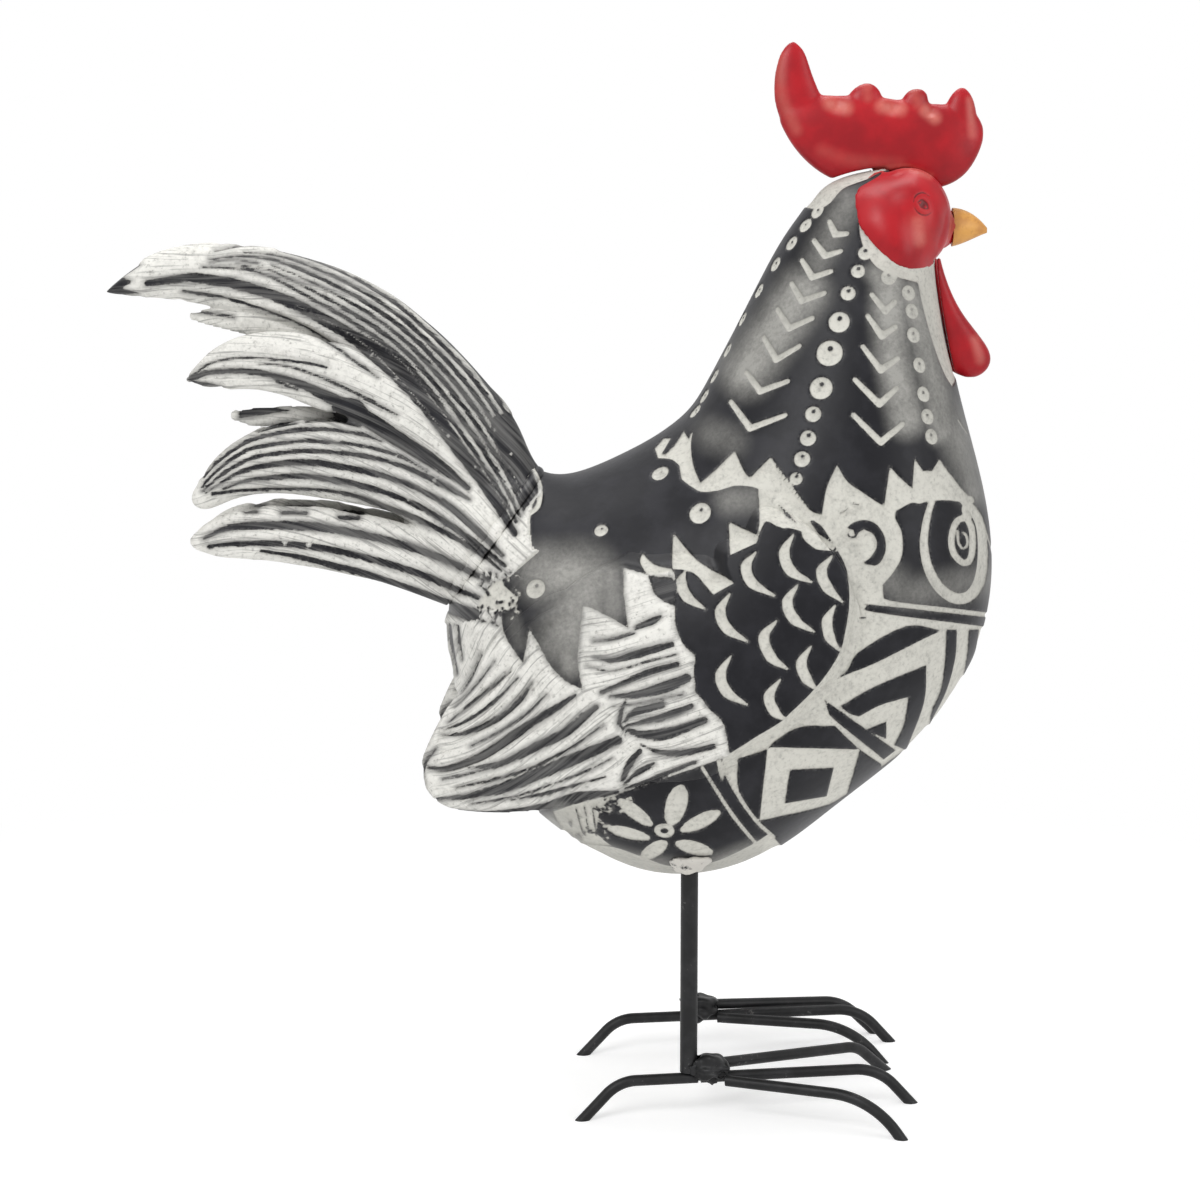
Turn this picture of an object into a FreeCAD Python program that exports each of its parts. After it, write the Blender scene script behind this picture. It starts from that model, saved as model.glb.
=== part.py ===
"""Standing rooster ornament: a hollow cast body with glued-in castings, on two steel rod legs with wire toes.

Millimetres. +X is the way the beak points, +Z is up and the floor is z = 0. The rooster's right side is at
negative y. The origin is the bottom centre of the box round the whole ornament.
"""

import FreeCAD, Part

import math
import os

Vec = FreeCAD.Vector
SIDES = {"right": -1, "left": 1}

# Body casting, from rump to breast and from belly to crown
BODY_LENGTH = 159.5
BODY_HEIGHT = 207.1
BODY_WIDTH = 108.0
BELLY_HEIGHT = 62.6
RUMP_X = -30.5
CASTING_WALL = 6.0

# The body's sections fan out round the back, from the tail's root to the crown.
# Each has its point on the back, its point on the front or belly, and its width.
BODY_SECTION_SHARES = (
    (0.172, 0.585, 0.003, 0.401, 0.350),
    (0.212, 0.579, 0.009, 0.308, 0.585),
    (0.263, 0.588, 0.078, 0.178, 0.780),
    (0.314, 0.605, 0.207, 0.077, 0.905),
    (0.369, 0.627, 0.375, 0.012, 0.975),
    (0.412, 0.649, 0.558, 0.030, 1.000),
    (0.449, 0.676, 0.722, 0.117, 0.985),
    (0.477, 0.711, 0.861, 0.206, 0.930),
    (0.506, 0.753, 0.955, 0.308, 0.855),
    (0.538, 0.801, 0.994, 0.430, 0.760),
    (0.574, 0.856, 0.978, 0.557, 0.645),
    (0.614, 0.911, 0.939, 0.669, 0.535),
    (0.655, 0.956, 0.905, 0.780, 0.435),
    (0.690, 0.985, 0.890, 0.850, 0.375),
    (0.790, 1.006, 0.888, 0.893, 0.330),
)
HOLLOW_SECTIONS = slice(1, 12)
RING_POINTS = 12
BELLY_SKEW_SHARE = 0.14

# Face, sunk into the top of the neck, with its two cheek lobes and the root of the beak
FACE_LENGTH = 24.5
FACE_WIDTH = 34.0
FACE_HEIGHT = 30.0
FACE_PLACE_SHARES = (0.828, 0.932)
CHEEK_LENGTH = 24.5
CHEEK_HEIGHT = 29.0
CHEEK_THICKNESS = 18.0
CHEEK_STAND_OFF = 9.5
MUZZLE_LENGTH = 14.0
MUZZLE_WIDTH = 12.0
MUZZLE_HEIGHT = 13.5
MUZZLE_PLACE_SHARES = (0.881, 0.922)
FACE_PEG_RADIUS = 5.0
FACE_PEG_LENGTH = 32.0
GLUE_GAP = 0.15

# Comb: a low crest that carries a tall rear horn and three short ones
COMB_LENGTH = 60.0
COMB_HEIGHT = 42.0
COMB_THICKNESS = 9.0
COMB_PLACE_SHARES = (0.590, 0.972)
CREST_SHARES = (
    (0.035, 0.460, 0.610, 0.35),
    (0.075, 0.350, 0.640, 0.60),
    (0.150, 0.215, 0.645, 0.85),
    (0.270, 0.090, 0.640, 1.00),
    (0.520, 0.020, 0.625, 1.00),
    (0.760, 0.010, 0.585, 1.00),
    (0.860, 0.050, 0.575, 0.90),
    (0.935, 0.135, 0.550, 0.70),
    (0.985, 0.260, 0.480, 0.45),
    (1.003, 0.340, 0.420, 0.20),
)
HORN_SHARES = (
    ((0.200, 0.440, 0.150), (0.118, 0.640, 0.112), (0.095, 0.840, 0.078), (0.094, 0.950, 0.045), (0.094, 0.998, 0.010)),
    ((0.440, 0.450, 0.135), (0.437, 0.620, 0.085), (0.445, 0.700, 0.045), (0.448, 0.722, 0.010)),
    ((0.680, 0.420, 0.110), (0.675, 0.590, 0.065), (0.682, 0.660, 0.045), (0.684, 0.684, 0.012)),
    ((0.885, 0.400, 0.105), (0.892, 0.560, 0.072), (0.896, 0.660, 0.038), (0.898, 0.694, 0.010)),
)
HORN_THICKNESS_SHARE = 0.80
COMB_PEG_RADIUS = 2.4
COMB_PEG_DEPTH = 9.0
COMB_PEG_PLACE_SHARES = (0.520, 0.150)

# Beak
BEAK_LENGTH = 10.0
BEAK_WIDTH = 9.0
BEAK_HEIGHT = 11.0
BEAK_PLACE_SHARES = (0.9145, 0.922)
BEAK_SHARES = ((0.00, 0.00, 1.00), (0.35, 0.02, 0.84), (0.70, 0.00, 0.52), (1.00, -0.08, 0.14))
BEAK_PEG_RADIUS = 1.8
BEAK_PEG_DEPTH = 6.0

# Wattles, a pair that hangs from the muzzle
WATTLE_DROP = 34.0
WATTLE_WIDTH = 14.0
WATTLE_THICKNESS = 7.0
WATTLE_GAP = 1.2
WATTLE_PLACE_SHARES = (0.879, 0.880)
WATTLE_SHARES = (
    (-0.02, 0.00, 0.32, 0.55),
    (0.12, 0.20, 0.34, 0.55),
    (0.33, 0.46, 0.56, 0.75),
    (0.58, 0.68, 0.88, 1.00),
    (0.70, 0.82, 1.00, 1.00),
    (0.77, 0.93, 0.74, 0.80),
    (0.79, 1.00, 0.20, 0.30),
)

# Wings: a plate that follows the flank, and behind it a blade whose tip stands clear
WING_LENGTH = 120.0
WING_HEIGHT = 86.0
WING_PLACE_SHARES = (-0.021, 0.141)
WING_RISE = 4.0
WING_OUTLINE_SHARES = (
    (0.752, 0.994),
    (0.855, 0.962),
    (0.958, 0.802),
    (1.000, 0.578),
    (0.928, 0.385),
    (0.815, 0.255),
    (0.632, 0.140),
    (0.480, 0.120),
    (0.340, 0.110),
    (0.240, 0.200),
    (0.250, 0.480),
    (0.320, 0.720),
    (0.450, 0.830),
    (0.605, 0.940),
)
BLADE_SHARES = (
    (0.560, 0.160, 0.700, 0.448),
    (0.420, 0.085, 0.740, 0.436),
    (0.300, 0.025, 0.720, 0.420),
    (0.200, 0.000, 0.620, 0.402),
    (0.100, -0.005, 0.430, 0.382),
    (0.020, 0.030, 0.270, 0.366),
    (-0.013, 0.095, 0.160, 0.356),
)
BLADE_THICKNESS = 9.0
BLADE_LEAN = 8.0
RIB_PLACE_SHARES = (-0.72, -0.36, 0.00, 0.36, 0.72)
RIB_WIDTH_SHARE = 0.15
RIB_RISE = 1.3
WING_PEG_RADIUS = 2.5
WING_PEG_DEPTH = 3.6
WING_PEG_PLACE_SHARES = ((0.42, 0.33), (0.60, 0.36))

# Tail: one casting of a sickle feather, three feathers on each side and two tips behind them
TAIL_LENGTH = 125.0
TAIL_HEIGHT = 110.0
TAIL_PLACE_SHARES = (0.172, 0.369)
TAIL_TIP_RADIUS = 0.8
SICKLE_THICKNESS = 15.0
SICKLE_SHARES = (
    (-0.036, 0.391, 0.092, 0.173),
    (0.000, 0.418, 0.120, 0.245),
    (0.046, 0.523, 0.188, 0.377),
    (0.116, 0.635, 0.252, 0.495),
    (0.207, 0.748, 0.316, 0.582),
    (0.322, 0.853, 0.415, 0.677),
    (0.458, 0.935, 0.524, 0.759),
    (0.619, 0.987, 0.652, 0.815),
    (0.779, 0.995, 0.804, 0.851),
    (0.900, 0.960, 0.908, 0.864),
    (0.972, 0.905, 0.969, 0.863),
    (1.001, 0.876, 0.999, 0.869),
)
SIDE_FEATHER_THICKNESS = 9.5
SIDE_FEATHER_ROOT_OFFSET = 6.6
SIDE_FEATHER_TIP_OFFSETS = (8.0, 11.0, 13.0)
UPPER_SHARES = (
    (0.028, 0.300, 0.100, 0.155),
    (0.092, 0.391, 0.156, 0.245),
    (0.204, 0.564, 0.260, 0.409),
    (0.340, 0.682, 0.380, 0.514),
    (0.484, 0.750, 0.508, 0.577),
    (0.646, 0.765, 0.652, 0.627),
    (0.748, 0.718, 0.756, 0.627),
    (0.809, 0.651, 0.807, 0.644),
)
MIDDLE_SHARES = (
    (0.028, 0.236, 0.084, 0.082),
    (0.116, 0.345, 0.172, 0.173),
    (0.268, 0.464, 0.308, 0.282),
    (0.463, 0.542, 0.468, 0.336),
    (0.584, 0.536, 0.596, 0.353),
    (0.700, 0.484, 0.716, 0.335),
    (0.776, 0.391, 0.778, 0.318),
    (0.793, 0.345, 0.792, 0.332),
)
LOWER_SHARES = (
    (0.028, 0.155, 0.076, 0.000),
    (0.142, 0.200, 0.180, 0.036),
    (0.327, 0.273, 0.352, 0.109),
    (0.513, 0.314, 0.524, 0.160),
    (0.676, 0.309, 0.684, 0.187),
    (0.768, 0.267, 0.772, 0.204),
    (0.796, 0.236, 0.794, 0.222),
)
BACK_TIP_THICKNESS = 2.8
BACK_TIP_SHARES = (
    (
        (0.320, 0.660, 0.350, 0.580),
        (0.480, 0.760, 0.500, 0.680),
        (0.620, 0.818, 0.630, 0.750),
        (0.740, 0.832, 0.744, 0.785),
        (0.804, 0.822, 0.804, 0.805),
    ),
    (
        (0.100, 0.330, 0.130, 0.250),
        (0.270, 0.480, 0.300, 0.400),
        (0.430, 0.555, 0.450, 0.475),
        (0.580, 0.574, 0.584, 0.515),
        (0.665, 0.574, 0.666, 0.526),
        (0.712, 0.561, 0.712, 0.541),
    ),
)
ROOT_DEPTH = 26.0
ROOT_RING_SHARES = ((-0.10, 0.96), (0.30, 0.86), (0.70, 0.66), (1.00, 0.40))
TAIL_PLUG_RADIUS = 9.0
TAIL_PLUG_LENGTH = 8.0
FILLER_RADIUS = 2.6
FILLER_RING_SHARE = 1.02

# Legs
LEG_DIAMETER = 5.0
LEG_SPACING = 60.0
LEG_X = 39.9
LEFT_LEG_AHEAD = 2.0
LEG_EMBED = 32.0
BOSS_WALL = 4.0
COLLAR_RADIUS = 6.5
COLLAR_FOOT_RADIUS = 3.8
COLLAR_DROP = 3.6

# Toes. The hind and middle wires are in line, the other two leave on either side.
TOE_DIAMETER = 3.2
TOE_HEIGHT = 10.9
TOE_REACH = 63.0
TOE_BEND_RADIUS = 16.0
ANKLE_X = 43.0
TOE_REACH_SHARES = {
    "right": {"hind": 0.54, "outer": 0.95, "middle": 1.00, "inner": 1.12},
    "left": {"hind": 0.54, "outer": 0.98, "middle": 1.00, "inner": 0.94},
}
TOE_BEND_SHARES = {
    "right": {"hind": 0.75, "outer": 1.50, "middle": 1.00, "inner": 0.75},
    "left": {"hind": 0.75, "outer": 1.00, "middle": 1.00, "inner": 1.50},
}
TOE_START_SHARES = {"hind": 0.008, "outer": 0.130, "middle": 0.008, "inner": 0.130}
TOE_TURNS = {
    "right": {"hind": 189.0, "outer": -21.0, "middle": 9.0, "inner": 35.0},
    "left": {"hind": 188.0, "outer": 16.5, "middle": 8.0, "inner": -12.5},
}
TOE_SLOPES = {
    "right": {"hind": 46.0, "outer": 52.0, "middle": 48.0, "inner": 40.0},
    "left": {"hind": 46.0, "outer": 44.0, "middle": 48.0, "inner": 48.0},
}
RAISED_TOE = {"right": "inner", "left": "outer"}
RAISED_TOE_TILTS = {"right": 5.0, "left": 3.5}
TOE_RAISE = 3.6
WELD_GAP = 0.2
WELD_LENGTH = 17.0
WELD_WIDTH = 11.0
WELD_HEIGHT = 10.0
WELD_AHEAD = 3.0
WELD_RISE = 3.0
WELD_SHARES = ((-1.0, 0.45), (-0.6, 0.82), (0.0, 1.00), (0.6, 0.82), (1.0, 0.45))

# How far a cutting shape runs past what it cuts
OVERRUN = 40.0


def body_point(x_share, z_share, y=0):
    """A point from shares of the body casting's length and height."""
    return Vec(RUMP_X + x_share * BODY_LENGTH, y, BELLY_HEIGHT + z_share * BODY_HEIGHT)


def ring(top, bottom, half_width, skew=0, y=0):
    """Points of an egg-shaped ring from top to bottom round to top again."""
    points = []
    for i in range(RING_POINTS):
        angle = math.tau * i / RING_POINTS
        down = (1 - math.cos(angle)) / 2
        wide = math.sin(angle) * (1 - skew * math.cos(angle))
        points.append(top + (bottom - top) * down + Vec(0, y + half_width * wide, 0))
    return points


def skin(rings):
    """A solid drawn smoothly over rings that all have the same number of points."""
    count = len(rings[0])
    around = []
    for points in rings:
        curve = Part.BSplineCurve()
        curve.interpolate(Points=points, Parameters=list(range(count + 1)), PeriodicFlag=True)
        around.append(curve)
    stations = [0]
    for near, far in zip(rings, rings[1:]):
        step = sum(a.distanceToPoint(b) for a, b in zip(near, far)) / count
        stations.append(stations[-1] + step)
    rows = []
    for pole in range(1, around[0].NbPoles + 1):
        along = Part.BSplineCurve()
        along.interpolate(Points=[curve.getPole(pole) for curve in around], Parameters=stations)
        rows.append(along.getPoles())
    surface = Part.BSplineSurface()
    surface.buildFromPolesMultsKnots(
        rows,
        around[0].getMultiplicities(),
        along.getMultiplicities(),
        around[0].getKnots(),
        along.getKnots(),
        True,
        False,
        around[0].Degree,
        along.Degree,
    )
    ends = [Part.Face(Part.Wire([curve.toShape()])) for curve in (around[0], around[-1])]
    return Part.makeSolid(Part.Shell([surface.toShape()] + ends))


def ellipsoid(centre, length, width, height):
    """An upright ellipsoid of those outer sizes."""
    squeeze = FreeCAD.Matrix()
    squeeze.scale(length / 2, width / 2, height / 2)
    solid = Part.makeSphere(1).transformGeometry(squeeze)
    solid.translate(centre)
    return solid


def rod(start, end, radius):
    """A round bar from one point to another."""
    return Part.makeCylinder(radius, start.distanceToPoint(end), start, end - start)


def joined(shapes):
    """One solid out of shapes that overlap."""
    return shapes[0].fuse(shapes[1:]).removeSplitter()


def mirrored(shape):
    """The same shape on the rooster's other side."""
    return shape.mirror(Vec(0, 0, 0), Vec(0, 1, 0))


def body_form(inset=0, sections=slice(None)):
    """The body's outer form, or the same form drawn in by an inset."""
    rings = []
    for back_x, back_z, front_x, front_z, width in BODY_SECTION_SHARES[sections]:
        back, front = body_point(back_x, back_z), body_point(front_x, front_z)
        across = (front - back).normalize() * inset
        rings.append(ring(back + across, front - across, width * BODY_WIDTH / 2 - inset, BELLY_SKEW_SHARE))
    return skin(rings)


def tail_mouth():
    """The middle of the flat where tail and body meet, and the way the tail leaves it."""
    back_x, back_z, front_x, front_z, _ = BODY_SECTION_SHARES[0]
    back, front = body_point(back_x, back_z), body_point(front_x, front_z)
    down = (front - back).normalize()
    return (back + front) / 2, Vec(down.z, 0, -down.x)


def face_place():
    return body_point(*FACE_PLACE_SHARES)


def face_peg(gap=0):
    """The peg that runs from the face down the neck."""
    back_x, back_z, front_x, front_z, _ = BODY_SECTION_SHARES[HOLLOW_SECTIONS.stop - 1]
    neck = (body_point(back_x, back_z) + body_point(front_x, front_z)) / 2
    along = (neck - face_place()).normalize()
    return rod(face_place(), face_place() + along * (FACE_PEG_LENGTH + gap), FACE_PEG_RADIUS + gap)


def face_form():
    """The head's red front: a core, two cheek lobes and the root of the beak."""
    place = face_place()
    shapes = [ellipsoid(place, FACE_LENGTH, FACE_WIDTH, FACE_HEIGHT)]
    for side in SIDES.values():
        lobe = place + Vec(0, side * CHEEK_STAND_OFF, 0)
        shapes.append(ellipsoid(lobe, CHEEK_LENGTH, CHEEK_THICKNESS, CHEEK_HEIGHT))
    shapes.append(ellipsoid(body_point(*MUZZLE_PLACE_SHARES), MUZZLE_LENGTH, MUZZLE_WIDTH, MUZZLE_HEIGHT))
    return joined(shapes)


def comb_point(x_share, z_share):
    place = body_point(*COMB_PLACE_SHARES)
    return place + Vec(x_share * COMB_LENGTH, 0, z_share * COMB_HEIGHT)


def comb_peg(gap=0):
    """The peg under the middle of the comb."""
    top = comb_point(*COMB_PEG_PLACE_SHARES)
    return rod(top + Vec(0, 0, COMB_PEG_DEPTH / 2), top - Vec(0, 0, COMB_PEG_DEPTH + gap), COMB_PEG_RADIUS + gap)


def comb_form():
    """The crest and its horns."""
    rings = []
    for along, low, high, thick in CREST_SHARES:
        rings.append(ring(comb_point(along, high), comb_point(along, low), thick * COMB_THICKNESS / 2))
    shapes = [skin(rings)]
    for horn in HORN_SHARES:
        rings = []
        for along, up, half in horn:
            thick = min(half / horn[0][2], 1) * HORN_THICKNESS_SHARE * COMB_THICKNESS / 2
            rings.append(ring(comb_point(along - half, up), comb_point(along + half, up), thick))
        shapes.append(skin(rings))
    return joined(shapes)


def beak_form():
    """The short hooked beak."""
    root = body_point(*BEAK_PLACE_SHARES)
    rings = []
    for along, up, size in BEAK_SHARES:
        centre = root + Vec(along * BEAK_LENGTH, 0, up * BEAK_HEIGHT)
        reach = Vec(0, 0, size * BEAK_HEIGHT / 2)
        rings.append(ring(centre + reach, centre - reach, size * BEAK_WIDTH / 2))
    return skin(rings)


def beak_peg(gap=0):
    root = body_point(*BEAK_PLACE_SHARES)
    return rod(root + Vec(BEAK_LENGTH / 2, 0, 0), root - Vec(BEAK_PEG_DEPTH + gap, 0, 0), BEAK_PEG_RADIUS + gap)


def wattle_form():
    """The left one of the two drop-shaped wattles."""
    root = body_point(*WATTLE_PLACE_SHARES)
    offset = (WATTLE_THICKNESS + WATTLE_GAP) / 2
    rings = []
    for ahead, drop, width, thick in WATTLE_SHARES:
        centre = root + Vec(ahead * WATTLE_WIDTH, 0, -drop * WATTLE_DROP)
        reach = Vec(width * WATTLE_WIDTH / 2, 0, 0)
        rings.append(ring(centre - reach, centre + reach, thick * WATTLE_THICKNESS / 2, y=offset))
    return skin(rings)


def wing_point(x_share, z_share, y=0):
    place = body_point(*WING_PLACE_SHARES)
    return place + Vec(x_share * WING_LENGTH, y, z_share * WING_HEIGHT)


def wing_blade():
    """The rear half of the wing, a lens that leans in towards the back and ends in a free tip."""
    rings = []
    for along, low, high, out in BLADE_SHARES:
        middle = out * BODY_WIDTH
        lean = BLADE_LEAN * (high - low) / 2
        top = wing_point(along, high, middle - lean)
        bottom = wing_point(along, low, middle + lean)
        rings.append(ring(top, bottom, BLADE_THICKNESS * math.sqrt(high - low) / 2))
    return skin(rings)


def wing_ribs():
    """The raised flight feathers that run together at the tip of the blade."""
    ribs = []
    for height_share in RIB_PLACE_SHARES:
        rings = []
        for along, low, high, out in BLADE_SHARES:
            middle = (high + low) / 2 + height_share * (high - low) / 2
            half = RIB_WIDTH_SHARE * (high - low) / 2
            bulge = BLADE_THICKNESS / 2 * math.sqrt((high - low) * (1 - height_share**2))
            y = out * BODY_WIDTH + bulge - BLADE_LEAN * (high - low) / 2 * height_share
            rings.append(ring(wing_point(along, middle + half, y), wing_point(along, middle - half, y), RIB_RISE))
        ribs.append(skin(rings))
    return ribs


def wing_pegs(form, gap=0):
    """Two pegs that sit in blind holes in the flank."""
    pegs = []
    for x_share, z_share in WING_PEG_PLACE_SHARES:
        middle = body_point(x_share, z_share)
        line = Part.makeLine(middle, middle + Vec(0, BODY_WIDTH, 0))
        flank = middle + Vec(0, line.common(form).BoundBox.YMax, 0)
        outer, inner = flank + Vec(0, WING_RISE / 2, 0), flank - Vec(0, WING_PEG_DEPTH + gap, 0)
        pegs.append(rod(outer, inner, WING_PEG_RADIUS + gap))
    return pegs


def wing_form(form):
    """The left wing: the plate over the flank, and the ribbed blade behind it."""
    outline = Part.BSplineCurve()
    outline.interpolate(Points=[wing_point(*place) for place in WING_OUTLINE_SHARES], PeriodicFlag=True)
    face = Part.Face(Part.Wire([outline.toShape()]))
    plate = face.extrude(Vec(0, BODY_WIDTH, 0)).common(body_form(-WING_RISE, HOLLOW_SECTIONS))
    return plate.fuse([wing_blade(), *wing_ribs()]).cut([form]).fuse(wing_pegs(form))


def tail_point(x_share, z_share):
    place = body_point(*TAIL_PLACE_SHARES)
    return place + Vec(-x_share * TAIL_LENGTH, 0, z_share * TAIL_HEIGHT)


def feather(shares, thickness, root_offset, tip_offset):
    """A curved feather that thins towards its tip."""
    rings = []
    for i, (top_x, top_z, low_x, low_z) in enumerate(shares):
        part_way = i / (len(shares) - 1)
        half = max(thickness / 2 * math.sqrt(1 - part_way**2), TAIL_TIP_RADIUS)
        offset = root_offset + (tip_offset - root_offset) * part_way
        rings.append(ring(tail_point(top_x, top_z), tail_point(low_x, low_z), half, y=offset))
    return skin(rings)


def tail_root():
    """The thick root where all the feathers meet."""
    back_x, back_z, front_x, front_z, width = BODY_SECTION_SHARES[0]
    back, front = body_point(back_x, back_z), body_point(front_x, front_z)
    middle, away = tail_mouth()
    rings = []
    for along, size in ROOT_RING_SHARES:
        shift = away * (along * ROOT_DEPTH)
        top = middle + (back - middle) * size + shift
        bottom = middle + (front - middle) * size + shift
        rings.append(ring(top, bottom, size * width * BODY_WIDTH / 2, BELLY_SKEW_SHARE))
    return skin(rings)


def tail_plug(gap=0):
    """The plug that runs from the tail's root into the end of the body."""
    middle, away = tail_mouth()
    return rod(middle + away * TAIL_PLUG_LENGTH, middle - away * (TAIL_PLUG_LENGTH + gap), TAIL_PLUG_RADIUS + gap)


def tail_form():
    """All the tail's feathers and their root."""
    shapes = [tail_root(), feather(SICKLE_SHARES, SICKLE_THICKNESS, 0, 0)]
    for side in SIDES.values():
        root = side * SIDE_FEATHER_ROOT_OFFSET
        for shares, tip in zip((UPPER_SHARES, MIDDLE_SHARES, LOWER_SHARES), SIDE_FEATHER_TIP_OFFSETS):
            shapes.append(feather(shares, SIDE_FEATHER_THICKNESS, root, side * tip))
    for shares in BACK_TIP_SHARES:
        shapes.append(feather(shares, BACK_TIP_THICKNESS, 0, 0))
    return joined(shapes)


def belly_entry(side, form):
    """Where a leg's centre line meets the underside of the body."""
    foot = Vec(leg_x(side), side * LEG_SPACING / 2, 0)
    line = Part.makeLine(foot, foot + Vec(0, 0, BELLY_HEIGHT + BODY_HEIGHT))
    return foot + Vec(0, 0, line.common(form).BoundBox.ZMin)


def leg_x(side):
    """The left leg stands a little ahead of the right one."""
    return LEG_X + LEFT_LEG_AHEAD * (side + 1) / 2


def leg_form(entry, gap=0):
    """A straight rod from the toes up into its boss."""
    bottom = Vec(entry.x, entry.y, TOE_HEIGHT + TOE_DIAMETER / 2 + WELD_GAP - gap)
    return rod(bottom, entry + Vec(0, 0, LEG_EMBED), LEG_DIAMETER / 2 + gap)


def leg_boss(entry):
    """The lump inside the body that holds a leg."""
    return rod(entry - Vec(0, 0, OVERRUN), entry + Vec(0, 0, LEG_EMBED + BOSS_WALL), LEG_DIAMETER / 2 + BOSS_WALL)


def leg_bore(entry):
    top = entry + Vec(0, 0, LEG_EMBED + GLUE_GAP)
    return rod(entry - Vec(0, 0, OVERRUN), top, LEG_DIAMETER / 2 + GLUE_GAP)


def leg_collar(entry, form):
    """The cone of filler round a leg where it enters the belly."""
    bottom = entry - Vec(0, 0, COLLAR_DROP)
    cone = Part.makeCone(COLLAR_FOOT_RADIUS, COLLAR_RADIUS, 2 * COLLAR_DROP, bottom, Vec(0, 0, 1))
    return cone.cut([form, leg_bore(entry)])


def toe_form(name, toe, gap=0):
    """A bent wire: a straight run, a bend and a slope down to the floor, where it is cut flat."""
    side = SIDES[name]
    raised = RAISED_TOE[name] == toe
    tilt = math.radians(RAISED_TOE_TILTS[name]) if raised else 0
    slope = math.radians(TOE_SLOPES[name][toe])
    height = TOE_HEIGHT + (TOE_RAISE if raised else 0)
    reach = TOE_REACH_SHARES[name][toe] * TOE_REACH
    bend = TOE_BEND_SHARES[name][toe] * TOE_BEND_RADIUS
    bend_out = bend * (math.sin(slope) - math.sin(tilt))
    bend_down = bend * (math.cos(tilt) - math.cos(slope))
    fall = height - bend_down
    run = ((reach - bend_out) * math.sin(slope) - fall * math.cos(slope)) / math.sin(slope - tilt)
    tail = (fall * math.cos(tilt) - (reach - bend_out) * math.sin(tilt)) / math.sin(slope - tilt)
    out = TOE_START_SHARES[toe] * TOE_REACH - gap
    start = Vec(out, 0, height - out * math.tan(tilt))
    first = Vec(run * math.cos(tilt), 0, height - run * math.sin(tilt))
    half_way = (tilt + slope) / 2
    middle = first + Vec(bend * (math.sin(half_way) - math.sin(tilt)), 0, bend * (math.cos(half_way) - math.cos(tilt)))
    second = first + Vec(bend_out, 0, -bend_down)
    end = second + Vec(math.cos(slope), 0, -math.sin(slope)) * (tail + TOE_DIAMETER)
    path = Part.Wire(
        [
            Part.makeLine(start, first),
            Part.Arc(first, middle, second).toShape(),
            Part.makeLine(second, end),
        ]
    )
    along = Vec(math.cos(tilt), 0, -math.sin(tilt))
    outline = Part.Wire([Part.makeCircle(TOE_DIAMETER / 2 + gap, start, along)])
    wire = path.makePipeShell([outline], True, False)
    floor = Part.makeBox(2 * OVERRUN + reach, 2 * OVERRUN, OVERRUN, Vec(-OVERRUN, -OVERRUN, -OVERRUN))
    wire = wire.cut(floor)
    wire.rotate(Vec(0, 0, 0), Vec(0, 0, 1), TOE_TURNS[name][toe])
    wire.translate(Vec(ANKLE_X, side * LEG_SPACING / 2, 0))
    return wire


def weld_bead(name, entry):
    """The lump of weld that joins the leg to its toes."""
    side = SIDES[name]
    centre = Vec(ANKLE_X + WELD_AHEAD, side * LEG_SPACING / 2, TOE_HEIGHT + WELD_RISE)
    rings = []
    for ahead, size in WELD_SHARES:
        middle = centre + Vec(ahead * WELD_LENGTH / 2, 0, 0)
        reach = Vec(0, 0, size * WELD_HEIGHT / 2)
        rings.append(ring(middle + reach, middle - reach, size * WELD_WIDTH / 2))
    held = [toe_form(name, toe, WELD_GAP) for toe in TOE_TURNS[name]]
    held.append(leg_form(entry, WELD_GAP))
    return skin(rings).cut(held)


def filler_form():
    """The bead of filler round the root of the tail."""
    back_x, back_z, front_x, front_z, width = BODY_SECTION_SHARES[0]
    back, front = body_point(back_x, back_z), body_point(front_x, front_z)
    middle, away = tail_mouth()
    size = FILLER_RING_SHARE
    points = ring(
        middle + (back - middle) * size,
        middle + (front - middle) * size,
        size * width * BODY_WIDTH / 2,
        BELLY_SKEW_SHARE,
    )
    curve = Part.BSplineCurve()
    curve.interpolate(Points=points, PeriodicFlag=True)
    path = Part.Wire([curve.toShape()])
    outline = Part.Wire([Part.makeCircle(FILLER_RADIUS, points[0], Vec(0, 1, 0))])
    return path.makePipeShell([outline], True, True)


def body_shell(form, face, entries):
    """The hollow casting with its bosses, sockets and holes."""
    hollow = body_form(CASTING_WALL, HOLLOW_SECTIONS)
    shell = form.cut(hollow.cut([leg_boss(entry) for entry in entries]))
    holes = [face, face_peg(GLUE_GAP), comb_peg(GLUE_GAP), tail_plug(GLUE_GAP)]
    holes.extend(leg_bore(entry) for entry in entries)
    for peg in wing_pegs(form, GLUE_GAP):
        holes.extend([peg, mirrored(peg)])
    return shell.cut(holes)


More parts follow.
